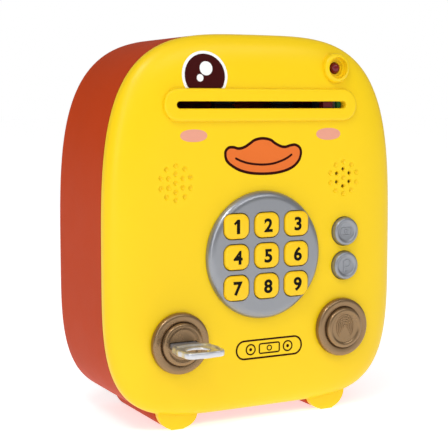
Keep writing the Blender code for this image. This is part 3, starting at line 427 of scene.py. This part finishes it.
def foot_points(middle):
    """Half-round foot as (x, z), with a small flat to stand on."""
    steps, power, flat_half, buried = 22, 2.1, 3.6, 1.1
    across = [middle + FOOT_HALF * (1 - 2 * step / steps) for step in range(steps + 1)]
    section = [(x, floor_level(x, buried)) for x in across]
    for side in (-1, 1):
        start = section[-1][1] if side < 0 else section[0][1]
        arc = []
        for step in range(1, steps):
            turn = math.pi / 2 * step / steps
            reach = FOOT_HALF * math.cos(turn) ** (2 / power)
            if reach > flat_half + 0.6:
                arc.append((middle + side * reach,
                            start - (start + FOOT_DROP) * math.sin(turn) ** (2 / power)))
        arc.append((middle + side * flat_half, -FOOT_DROP))
        section += arc if side < 0 else list(reversed(arc))
    return section


def feet(low_y, high_y, rounding):
    made = []
    for side in (-1, 1):
        foot = prism("foot", foot_points(side * FOOT_X), low_y, high_y)
        made.append(bevelled(foot, rounding, 5, 60))
    return made


def knuckles(spans, arm):
    made = []
    for low, high in spans:
        x, y, z = HINGE
        made.append(rod(2.8, (x, y, z + low), (x, y, z + high), 40))
        made.append(prism("arm", arm, z + low, z + high, 'Z'))
    return made


# ---------------------------------------------------------------- case

def make_case():
    edge = soft_section(BACK_EDGE, BACK_EDGE, 2.2, 10)
    sections = [(0.0, CASE_FRONT), (0.0, DEPTH * 0.5)]
    sections += [(inset, DEPTH - BACK_EDGE + height) for inset, height in edge]
    case = shell("rear_case_shell", sections, CASE_WALL, RED, front=False)
    outer, inner, seam = DOOR_WALL + 0.6, DOOR_WALL + 2.0, CASE_FRONT
    rim = [(outer - 1.2, seam + 4), (outer - 1.2, seam + 0.8), (outer, seam + 0.8), (outer, seam - 2.2),
           (inner, seam - 2.2), (inner, seam + 4)]
    lip_rings = [[(x, y, z) for x, z in outline(inset)] for inset, y in rim]
    lip = to_object("lip", loft(lip_rings, loop=True), None)
    inside = HALF_WIDTH - CASE_WALL / 2
    x, y, _ = HINGE
    web = [(inside, y - 2.4), (x, y - 2.4), (x, y + 2.4), (inside, y + 2.4)]
    boss = [(-81.4, RING_AT[1] - 10), (-81.4, RING_AT[1] + 10)]
    for rise in (10, 5, 0, -5, -10):
        z = RING_AT[1] + rise
        share = (abs(z) / (DROP - 1.2)) ** LOWER_POWERS[1]
        boss.append((-(HALF_WIDTH - 1.2) * (1 - share) ** (1 / LOWER_POWERS[0]), z))
    tools = [lip, prism("boss", boss, 17.5, 25.5)]
    tools += feet(CASE_FRONT + 0.1, 67.0, 3.0) + knuckles(CASE_KNUCKLES, web)
    combine(case, 'UNION', tools)
    coin = [(a, b + COIN_SLOT_Y) for a, b in stadium(30, 3.4, 1.69)]
    mouth = [(a, b + COIN_SLOT_Y) for a, b in stadium(33, 6.4, 3.19)]
    cuts = [prism("coin", coin, RISE - 10, RISE + 10, 'Z'),
            prism("mouth", mouth, RISE - 0.7, RISE + 10, 'Z'),
            rod(PIN_BORE, (x, y, HINGE[2] - PIN_REACH), (x, y, HINGE[2] + PIN_REACH), 24)]
    cuts += [rod(1.4, (-83.6, 22, RING_AT[1] + rise), (-79, 22, RING_AT[1] + rise), 16)
             for rise in (-6.5, 6.5)]
    combine(case, 'DIFFERENCE', cuts)
    weighted(case)
    show(case, "case", "rear_case")


# ---------------------------------------------------------------- door

def grille(side):
    """Hole centres of one grille: one, six and ten."""
    points = [(side * GRILLE_AT[0], GRILLE_AT[1])]
    for count, reach, phase in ((6, 4.7, 0.5), (10, 8.8, 0.5)):
        for number in range(count):
            turn = 2 * math.pi * (number + phase) / count
            points.append((points[0][0] + reach * math.cos(turn), points[0][1] + reach * math.sin(turn)))
    return points


DIMPLE = [(0, 1.0), (1.62, 1.0), (1.62, 0.08), (1.42, -0.06), (1.25, -0.45), (0.9, -0.85), (0.45, -1.08),
          (0, -1.15)]


def make_door():
    edge = soft_section(EDGE_REACH, EDGE_DEPTH, EDGE_POWER, 22)
    sections = [(0.22, DOOR_REAR), (0.0, DOOR_REAR - 0.22)]
    sections += [(inset, EDGE_DEPTH - height) for inset, height in edge]
    door = shell("door_front", sections, DOOR_WALL, YELLOW)

    rim = [(0.0, -3.0), (0.0, 0.9), (0.12, 1.35), (0.45, 1.75), (0.95, 1.95), (1.6, 2.0)]
    bezel = block("bezel", (116, 17), 8.4, rim, (0, SLOT_Z), None, 16)
    lens_ring = lathe("lens_ring", [(0, 2.2), (5.9, 2.2), (7.3, 1.7), (8.0, 0.4), (8.0, -4.6), (0, -4.6)],
                      LENS_AT, None, 0.8, 48)
    x, y, _ = HINGE
    arm = [(HALF_WIDTH - 1.2, 9.6), (HALF_WIDTH + 0.1, 9.6), (89.2, 13.5), (x + 1.8, y - 2), (x, y),
           (x - 1.4, y - 2), (HALF_WIDTH + 0.4, DOOR_REAR + 2.4), (HALF_WIDTH + 0.4, DOOR_REAR - 0.2),
           (HALF_WIDTH - 1.2, DOOR_REAR - 0.4)]
    tools = [bezel, lens_ring] + feet(8.0, DOOR_REAR - 0.1, 1.8) + knuckles(DOOR_KNUCKLES, arm)
    tools += [hole(at, 3.2, 1.6, 26.0, 24) for at in SCREW_POSTS]
    combine(door, 'UNION', tools)

    slot = block("slot", (102, 3.7), 1.84, [(0, -8), (0, 1.5), (-0.12, 1.75), (-0.45, 2.05), (-0.9, 3.0)],
                 (0, SLOT_Z), None, 10)
    cuts = [slot, hole(LENS_AT, 5.8, -4, 0.6, 40), hole(LENS_AT, 4.4, 0, 1.6, 40),
            hole(LENS_AT, 3.3, 0, 10, 32),
            hole((0, PAD_Z), PAD_RADIUS - 0.8, -5, 5, 64),
            hole(BUTTON_AT[0], 8.2, -5, 5, 48), hole(BUTTON_AT[1], 8.2, -5, 5, 48),
            hole((-RING_AT[0], RING_AT[1]), 12.9, -5, 5, 48), hole(RING_AT, 12.9, -5, 5, 48)]
    for side in (-1, 1):
        for number, at in enumerate(grille(side)):
            cuts.append(lathe("dimple", DIMPLE, at, None, 0, 24))
            if side > 0 and 1 <= number <= 6:
                cuts.append(hole(at, 0.95, 0.2, 5.0, 20))
    cuts.append(rod(PIN_BORE, (x, y, HINGE[2] - PIN_REACH), (x, y, HINGE[2] + PIN_REACH), 24))
    cuts += [hole(at, 1.6, 13, 27, 16) for at in SCREW_POSTS]
    combine(door, 'DIFFERENCE', cuts)
    weighted(door)
    show(door, "door", "door_shell")

    lens = lathe("lens_dome", [(0, 0.6), (1.2, 0.45), (2.2, -0.1), (2.9, -1.1), (3.15, -2.2), (3.15, -4.6),
                               (0, -4.6)], LENS_AT, LENS, 0.5, 40)
    show(lens, "door", "eye_lens")


def make_inner_cover():
    edge = soft_section(2.5, 2.5, 2.0, 6)
    sections = [(COVER_INSET, COVER_FRONT)]
    sections += [(COVER_INSET + inset, COVER_BACK - 2.5 + height) for inset, height in edge]
    cover = shell("inner_cover", sections, COVER_WALL, CREAM, front=False)
    bay = [(a, b - TRAY_DROP + LID_RISE) for a, b in stadium(61, 51, 2)]
    exit_slot = [(a, b + SLOT_Z) for a, b in stadium(96, 7, 3.4)]
    cuts = [prism("bay", bay, 24, 32), prism("exit", exit_slot, 24, 32),
            hole((-RING_AT[0], RING_AT[1]), 8.1, 20, 40, 48)]
    cuts += [hole(at, 1.7, 24, 30, 20) for at in SCREW_POSTS]
    combine(cover, 'DIFFERENCE', cuts)
    weighted(cover)
    show(cover, "door", "door_inner_cover")


# ---------------------------------------------------------------- printed face

def decal(name, points, material, lift=0.06, wall=0.12, centre=None, clip=None, rings=10):
    """A thin printed patch that follows the door: a ring of (x, z) filled towards its centre."""
    if centre is None:
        centre = (sum(x for x, _ in points) / len(points), sum(z for _, z in points) / len(points))

    def place(x, z, out):
        if clip is not None:
            z = max(z, clip)
        return (x, face_depth(x, z) - out, z)
    layers = []
    for out in (lift, lift - wall):
        layer = [[place(*centre, out)]]
        for ring in range(1, rings + 1):
            share = ring / rings
            layer.append([place(centre[0] + (x - centre[0]) * share, centre[1] + (z - centre[1]) * share, out)
                          for x, z in points])
        layers.append(layer)
    item = to_object(name, loft(layers[0] + list(reversed(layers[1]))), material, 40)
    return show(item, "door")


def side_step(points, i, width, closed):
    """Half the width of a line, square to it at its point number i."""
    before = points[i - 1] if (i > 0 or closed) else points[i]
    after = points[(i + 1) % len(points)] if (i < len(points) - 1 or closed) else points[i]
    along = (Vector(after) - Vector(before)).normalized()
    return Vector((-along.y, along.x)) * width / 2


def line_decal(name, points, width, material, lift=0.1, wall=0.16, closed=False):
    """A printed line of even width with round ends, along points (x, z)."""
    rings = []
    count = len(points)
    for i, (x, z) in enumerate(points):
        out = side_step(points, i, width, closed)
        if not closed:
            ends = min(i, count - 1 - i)
            out *= (0.25, 0.8)[ends] if ends < 2 else 1
        ring = []
        for side, level in ((1, lift), (-1, lift), (-1, lift - wall), (1, lift - wall)):
            px, pz = x + out.x * side, z + out.y * side
            ring.append((px, face_depth(px, pz) - level, pz))
        rings.append(ring)
    item = to_object(name, loft(rings, loop=closed), material, 40)
    return show(item, "door")


def ellipse(centre, half_x, half_z, count=48, power=2.0):
    turns = [2 * math.pi * i / count for i in range(count)]
    return [(centre[0] + half_x * math.copysign(abs(math.cos(t)) ** (2 / power), math.cos(t)),
             centre[1] + half_z * math.copysign(abs(math.sin(t)) ** (2 / power), math.sin(t))) for t in turns]


def smooth_line(knots, per_span=8):
    """A smooth line through its knots (Catmull-Rom)."""
    ends = [knots[0]] + list(knots) + [knots[-1]]
    made = []
    for i in range(1, len(ends) - 2):
        p0, p1, p2, p3 = (Vector(ends[i + k]) for k in (-1, 0, 1, 2))
        for step in range(per_span):
            t = step / per_span
            made.append(tuple(0.5 * (2 * p1 + (p2 - p0) * t + (2 * p0 - 5 * p1 + 4 * p2 - p3) * t * t
                                     + (3 * p1 - p0 - 3 * p2 + p3) * t ** 3)))
    made.append(tuple(knots[-1]))
    return made


def make_face():
    bezel_top = SLOT_Z + 8.6
    eye = (-34.1, 105.3)
    decal("eye_white", ellipse(eye, 12.9, 12.9), WHITE, 0.05, 0.12, clip=bezel_top)
    decal("eye_rim", ellipse(eye, 12.9, 12.9), EYE_BROWN, 0.02, 0.08, clip=bezel_top)
    decal("eye_dark", ellipse(eye, 11.4, 11.4), EYE_BROWN, 0.1, 0.12, clip=bezel_top)
    decal("eye_glint_large", ellipse((-33.4, 109.2), 3.6, 3.6), WHITE, 0.15, 0.12)
    decal("eye_glint_small", ellipse((-37.0, 104.3), 1.9, 1.9), WHITE, 0.15, 0.12)
    decal("blush_left", ellipse((-40.8, 74.8), 7.7, 3.2, power=2.2), BLUSH)
    decal("blush_right", ellipse((40.8, 74.8), 7.7, 3.2, power=2.2), BLUSH)
    knots = [(-22.5, 63.8), (-22.4, 66.4), (-20.6, 68.3), (-17.8, 68.5), (-14.8, 67.8), (-11.4, 68.4),
             (-8.0, 70.3), (-4.8, 72.2), (-0.2, 72.9), (4.4, 72.1), (7.4, 70.2), (10.8, 68.6), (13.8, 68.2),
             (17.0, 69.0), (20.0, 69.2), (22.6, 67.6), (23.4, 64.8), (22.2, 61.0), (18.8, 57.7), (13.4, 55.5),
             (6.8, 54.4), (-0.4, 54.2), (-7.6, 54.8), (-13.6, 56.3), (-18.4, 58.7), (-21.5, 61.3)]
    bill = smooth_line(knots + [knots[0]], 6)[:-1]
    decal("bill_fill", bill, ORANGE, 0.06, 0.12, centre=(0.3, 63.0))
    line_decal("bill_outline", bill, 1.45, BROWN, closed=True)
    smile = smooth_line([(-16.8, 62.9), (-13.4, 61.3), (-8.4, 59.9), (-1.4, 59.1), (5.6, 59.4), (11.4, 60.9),
                         (15.2, 62.5), (18.0, 64.3)])
    line_decal("bill_mouth", smile, 1.15, BROWN, 0.12)


def make_label():
    """A printed stadium frame with a row of coins and a note."""
    middle = (4.3, -40.0)
    frame_line = [(middle[0] + x, middle[1] + z) for x, z in stadium(40.2, 9.8, 4.8, 12)]
    line_decal("label_frame", frame_line, 0.95, BROWN, closed=True)
    for number, shift in enumerate((-11.5, 11.5), 1):
        at = (middle[0] + shift, middle[1])
        line_decal(f"label_coin_{number}", ellipse(at, 2.7, 2.7, 32), 0.75, BROWN, closed=True)
        decal(f"label_coin_mark_{number}", ellipse(at, 0.9, 0.9, 20), BROWN, rings=2)
    note = [(middle[0] + x, middle[1] + z) for x, z in stadium(12.4, 5.2, 0.9, 4)]
    line_decal("label_note", note, 0.75, BROWN, closed=True)
    line_decal("label_note_ring", ellipse(middle, 1.35, 1.35, 24), 0.6, BROWN, closed=True)


# ---------------------------------------------------------------- keypad and buttons

def make_keypad():
    width, height = 15.0, 13.6
    boss = PAD_RADIUS - 1.2
    edge = [(PAD_RADIUS - inset, height_up + 0.4) for inset, height_up in soft_section(4.4, 3.9, 2.1, 12)]
    profile = [(0, PAD_PROUD - 0.2), (29.2, PAD_PROUD - 0.2)] + list(reversed(edge))
    profile += [(PAD_RADIUS, 0.3), (boss, 0.3), (boss, -2.2), (0, -2.2)]
    bezel = lathe("keypad_plate", profile, (0, PAD_Z), SILVER, 0.12, 96, 2, 34)
    cuts = []
    for number in range(1, 10):
        low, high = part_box(f"key_{number}")
        middle = node_middle(f"key_{number}")
        at = (middle.x, middle.z)
        cuts.append(block("key_hole", (width, height), 4.6,
                          [(0, -6), (0, 3.6), (-0.35, 4.3), (-0.6, 6)], at, None, 8))
        front = (ORIGIN.y - low.y) / MM
        cap = [(0.15, front - 9.4), (0, front - 9.2), (0, front - 1.9)]
        cap += [(2.0 * (1 - math.cos(t)), front - 1.9 + 1.65 * math.sin(t)) for t in
                (math.pi / 2 * step / 8 for step in range(1, 9))]
        cap += [(3.6, front - 0.1), (5.2, front - 0.03)]
        key = block(f"key_cap_{number}", (14.5, 13.1), 4.35, cap, at, KEY_YELLOW, 8, angle=50)
        flange = block("flange", (16.0, 14.6), 5.0, [(0, -3.5), (0, -2.6)], at, None, 8)
        combine(key, 'UNION', [flange])
        smooth(key, 50)
        show(key, f"key_{number}_body", f"key_{number}")
        digit(number, at, front)
    combine(bezel, 'DIFFERENCE', cuts)
    weighted(bezel)
    show(bezel, "door", "keypad_bezel")


def digit(number, at, front):
    """A printed bold digit on a key cap."""
    if number == 1:
        strokes = [(-2.5, 1.75), (-0.35, 3.75), (1.15, 3.75), (1.15, -3.75), (-0.75, -3.75), (-0.75, 1.75),
                   (-1.75, 0.85)]
        line = fillet(strokes, 0.3, 3)
        one = prism("digit_1", [(at[0] + x, at[1] + z) for x, z in line], -front - 0.06, -front + 0.18,
                    material=INK)
        show(one, "key_1_body")
        return
    text = bpy.data.curves.new(f"digit_{number}", 'FONT')
    text.body = str(number)
    text.size = 9.6
    text.offset = 0.30
    text.extrude = 0.12
    text.resolution_u = 6
    holder = linked("digit", text)
    mesh = bpy.data.meshes.new_from_object(holder.evaluated_get(bpy.context.evaluated_depsgraph_get()))
    bpy.data.objects.remove(holder, do_unlink=True)
    shape = bmesh.new()
    shape.from_mesh(mesh)
    bmesh.ops.remove_doubles(shape, verts=shape.verts, dist=0.001)
    xs = [vert.co.x for vert in shape.verts]
    ys = [vert.co.y for vert in shape.verts]
    middle = Vector(((min(xs) + max(xs)) / 2, (min(ys) + max(ys)) / 2, 0))
    stand = Matrix.Rotation(math.pi / 2, 4, 'X')
    bmesh.ops.transform(shape, matrix=Matrix.Translation((at[0], -front + 0.06, at[1])) @ stand
                        @ Matrix.Diagonal((1.06, 1.0, 1.0, 1.0)) @ Matrix.Translation(-middle),
                        verts=shape.verts)
    item = to_object(f"digit_{number}", shape, INK, 40)
    show(item, f"key_{number}_body")


def relief(name, points, width, height, at_height, material, body, closed=False):
    """A raised rounded line on a cap, along points (x, z), standing on the level at_height."""
    rings = []
    count = len(points)
    for i, (x, z) in enumerate(points):
        out = side_step(points, i, width, closed)
        scale = 1.0
        if not closed:
            ends = min(i, count - 1 - i)
            scale = (0.35, 0.85)[ends] if ends < 2 else 1
        ring = []
        for k in range(7):
            turn = math.pi * k / 6
            ring.append((x + out.x * math.cos(turn) * scale,
                         -at_height - height * math.sin(turn) * scale,
                         z + out.y * math.cos(turn) * scale))
        ring += [(x - out.x * scale, -at_height + 0.25, z - out.y * scale),
                 (x + out.x * scale, -at_height + 0.25, z + out.y * scale)]
        rings.append(ring)
    item = to_object(name, loft(rings, loop=closed), material, 60)
    return show(item, body)


def shifted(points, at):
    return [(at[0] + x, at[1] + z) for x, z in points]


def make_buttons():
    for label, at in (("upper", BUTTON_AT[0]), ("lower", BUTTON_AT[1])):
        profile = [(0, 2.5), (5.0, 2.5), (5.7, 3.2), (6.6, 3.3), (7.4, 2.9), (7.8, 1.9), (7.8, -2.6),
                   (8.8, -2.6), (8.8, -3.6), (0, -3.6)]
        cap = lathe(f"{label}_button_cap", profile, at, SILVER, 0.5, 56)
        show(cap, f"{label}_button_body", f"{label}_button")
    slot, at = "silver_trim", BUTTON_AT[0]
    relief("upper_icon_note", shifted(stadium(6.6, 4.2, 1.0, 4), at), 0.8, 0.45, 2.5, SILVER,
           "upper_button_body", True)
    relief("upper_icon_ring", shifted(ellipse((0, 0), 0.9, 0.9, 20), at), 0.7, 0.45, 2.5, SILVER,
           "upper_button_body", True)
    at = BUTTON_AT[1]
    bell = smooth_line([(-1.2, -3.4), (-1.2, 0), (-1.0, 2.6), (1.0, 3.2), (2.8, 1.6), (1.8, -0.4),
                        (-0.8, -0.7)], 6)
    relief("lower_icon_bell", shifted(bell, at), 0.9, 0.45, 2.5, SILVER, "lower_button_body")
    base = [(-3.0, -3.2), (-2.0, -3.3), (-0.4, -3.35), (0.8, -3.3), (1.8, -3.2)]
    relief("lower_icon_base", shifted(base, at), 0.8, 0.45, 2.5, SILVER, "lower_button_body")

    profile = [(0, 5.3), (8.2, 5.3), (8.9, 5.8), (9.8, 5.9), (10.8, 5.5), (11.3, 4.5), (11.3, -2.6),
               (12.3, -2.6), (12.3, -3.6), (0, -3.6)]
    cap = lathe("print_button_cap", profile, RING_AT, GOLD, 0.5, 72)
    show(cap, "print_button_body", "print_button")
    for number, (reach, start, end) in enumerate(((1.3, -200, 20), (2.7, -215, 35), (4.1, -222, 42),
                                                  (5.5, -228, 48), (6.9, -232, 52)), 1):
        turns = [math.radians(-(start + (end - start) * step / 26)) for step in range(27)]
        arc = [(reach * 0.78 * math.cos(t), 0.6 + reach * 0.98 * math.sin(t)) for t in turns]
        relief(f"print_ridge_{number}", shifted(arc, RING_AT), 0.72, 0.42, 5.3, GOLD, "print_button_body")


def make_rings():
    profile = [(11.65, 3.4), (12.2, 3.6), (14.2, 3.8), (15.3, 3.6), (15.95, 2.9), (16.2, 1.8), (16.2, 0.3),
               (12.5, 0.3), (12.5, -2.1), (11.65, -2.1)]
    for label, side in (("lock", -1), ("print", 1)):
        ring = lathe(f"{label}_trim", profile, (side * RING_AT[0], RING_AT[1]), GOLD, 0.45, 80)
        show(ring, "door", f"{label}_ring")


# ---------------------------------------------------------------- lock and key

def make_lock():
    at = (-RING_AT[0], RING_AT[1])
    profile = [(0, 5.1), (2.5, 5.3), (8.1, 5.3), (8.8, 5.8), (9.8, 5.9), (10.8, 5.5), (11.3, 4.5),
               (11.3, -3.6), (7.5, -3.6), (7.5, -30.7), (3.0, -30.7), (3.0, -35.0), (0, -35.0)]
    rotor = lathe("lock_barrel", profile, at, GOLD, 0.4, 72)
    keyway = prism("keyway", [(a + at[0], b + at[1]) for a, b in stadium(8.0, 2.2, 0.5, 4)], -8, 16)
    recess = prism("recess", [(a + at[0], b + at[1]) for a, b in stadium(16.0, 3.6, 0.9, 4)], -8, -3.6)
    combine(rotor, 'DIFFERENCE', [keyway, recess])
    weighted(rotor)
    show(rotor, "lock_rotor_body", "lock_rotor")


def make_key():
    x, z = -RING_AT[0], RING_AT[1]
    middle, reach, half, power = -22.2, 11.2, 1.55, 4.2
    section = [(0.0, 0.62), (0.02, 0.85), (0.06, 1.0), (0.20, 1.0), (0.28, 0.9), (0.33, 0.55), (0.40, 0.45),
               (0.88, 0.45), (0.96, 0.36), (1.0, 0.15)]
    section += [(share, -level) for share, level in reversed(section)]
    count = 160
    rings = []
    for step in range(count):
        turn = 2 * math.pi * step / count
        square = abs(math.cos(turn)) ** power + abs(math.sin(turn)) ** power
        outer = reach / square ** (1 / power) + 0.3 * math.cos(8 * turn)
        window = 1 / math.hypot(math.cos(turn) / 6.4, math.sin(turn) / 5.4)
        rings.append([(x + (outer + (window - outer) * share) * math.cos(turn),
                       middle + (outer + (window - outer) * share) * math.sin(turn), z + half * level)
                      for share, level in section])
    bow = to_object("key_bow", loft(rings, loop=True), NICKEL, 50)
    show(bow, "key_body", "key")

    back = middle + reach
    shank = [(-8.6, back - 1.2), (-7.6, back + 0.4), (-7.4, back + 2.0), (-7.4, -4.4), (7.4, -4.4),
             (7.4, back + 2.0), (7.6, back + 0.4), (8.6, back - 1.2)]
    stem = prism("key_stem", [(x + a, b) for a, b in shank], z - 1.2, z + 1.2, 'Z', NICKEL)
    bevelled(stem, 0.4, 3)
    smooth(stem)
    show(stem, "key_body")
    edge = [(-3.6, -7.0), (3.6, -7.0), (3.6, 2.2)]
    for tooth in range(3):
        low = 4.0 + 3.6 * tooth
        edge += [(3.6, low), (2.2, low + 1.0), (2.2, low + 1.8), (3.6, low + 2.6)]
    edge += [(0, 14.6), (-3.6, 12.0)]
    blade = prism("key_blade", [(x + a, b) for a, b in edge], z - 0.7, z + 0.7, 'Z', NICKEL)
    bevelled(blade, 0.15, 2)
    smooth(blade)
    show(blade, "key_body")


# ---------------------------------------------------------------- studio

def make_studio():
    floor_mesh = bmesh.new()
    bmesh.ops.create_grid(floor_mesh, x_segments=1, y_segments=1, size=12)
    mesh = bpy.data.meshes.new("floor")
    floor_mesh.to_mesh(mesh)
    floor_mesh.free()
    floor = linked("floor", mesh)
    paper = plastic("white_floor", (0.92, 0.92, 0.92), 0.9, 0.0, 100, 0.005, specular=0.1)
    shader = paper.node_tree.nodes["Principled BSDF"]
    shader.inputs["Emission Color"].default_value = (1, 1, 1, 1)
    shader.inputs["Emission Strength"].default_value = 0.62
    mesh.materials.append(paper)

    world = bpy.data.worlds.new("studio")
    bpy.context.scene.world = world
    world.use_nodes = True
    nodes, links = world.node_tree.nodes, world.node_tree.links
    soft = nodes["Background"]
    soft.inputs["Color"].default_value = (1, 1, 1, 1)
    soft.inputs["Strength"].default_value = 0.26
    paper_white = nodes.new("ShaderNodeBackground")
    paper_white.inputs["Color"].default_value = (1, 1, 1, 1)
    pick = nodes.new("ShaderNodeMixShader")
    links.new(nodes.new("ShaderNodeLightPath").outputs["Is Camera Ray"], pick.inputs["Fac"])
    links.new(soft.outputs["Background"], pick.inputs[1])
    links.new(paper_white.outputs["Background"], pick.inputs[2])
    links.new(pick.outputs["Shader"], nodes["World Output"].inputs["Surface"])

    def panel(name, at, aim, size, power):
        light = bpy.data.lights.new(name, 'AREA')
        light.shape = 'RECTANGLE'
        light.size, light.size_y = size
        light.energy = power
        item = linked(name, light)
        item.location = at
        item.rotation_euler = (Vector(aim) - Vector(at)).to_track_quat('-Z', 'Y').to_euler()

    panel("left_strip", (-0.95, -0.92, 0.50), (0, 0, 0.11), (0.28, 0.8), 2.4)
    panel("edge_light", (-0.66, -0.58, 1.20), (0, 0, 0.12), (0.34, 0.34), 4.6)
    panel("top_strip", (0.35, -0.95, 0.95), (0, 0, 0.15), (0.9, 0.3), 2.8)

    sun = bpy.data.lights.new("sky_glow", 'SUN')
    sun.energy = 0.6
    sun.angle = math.radians(70)
    glow = linked("sky_glow", sun)
    glow.rotation_euler = Vector((0.32, 0.46, -0.83)).to_track_quat('-Z', 'Y').to_euler()

    camera = bpy.data.cameras.new("camera")
    camera.lens, camera.sensor_width = 93.4, 36
    eye = linked("camera", camera)
    aim = ORIGIN + Vector((-23.32, 0.0, 28.49)) * MM
    away = Vector((-0.4608, -0.8815, 0.1028)).normalized()
    eye.location = aim + away * 0.6084
    eye.rotation_euler = (-away).to_track_quat('-Z', 'Y').to_euler()
    bpy.context.scene.camera = eye
    bpy.context.scene.view_settings.view_transform = 'Standard'


make_studio()
make_case()
make_door()
make_inner_cover()
make_face()
make_label()
make_keypad()
make_buttons()
make_rings()
make_lock()
make_key()
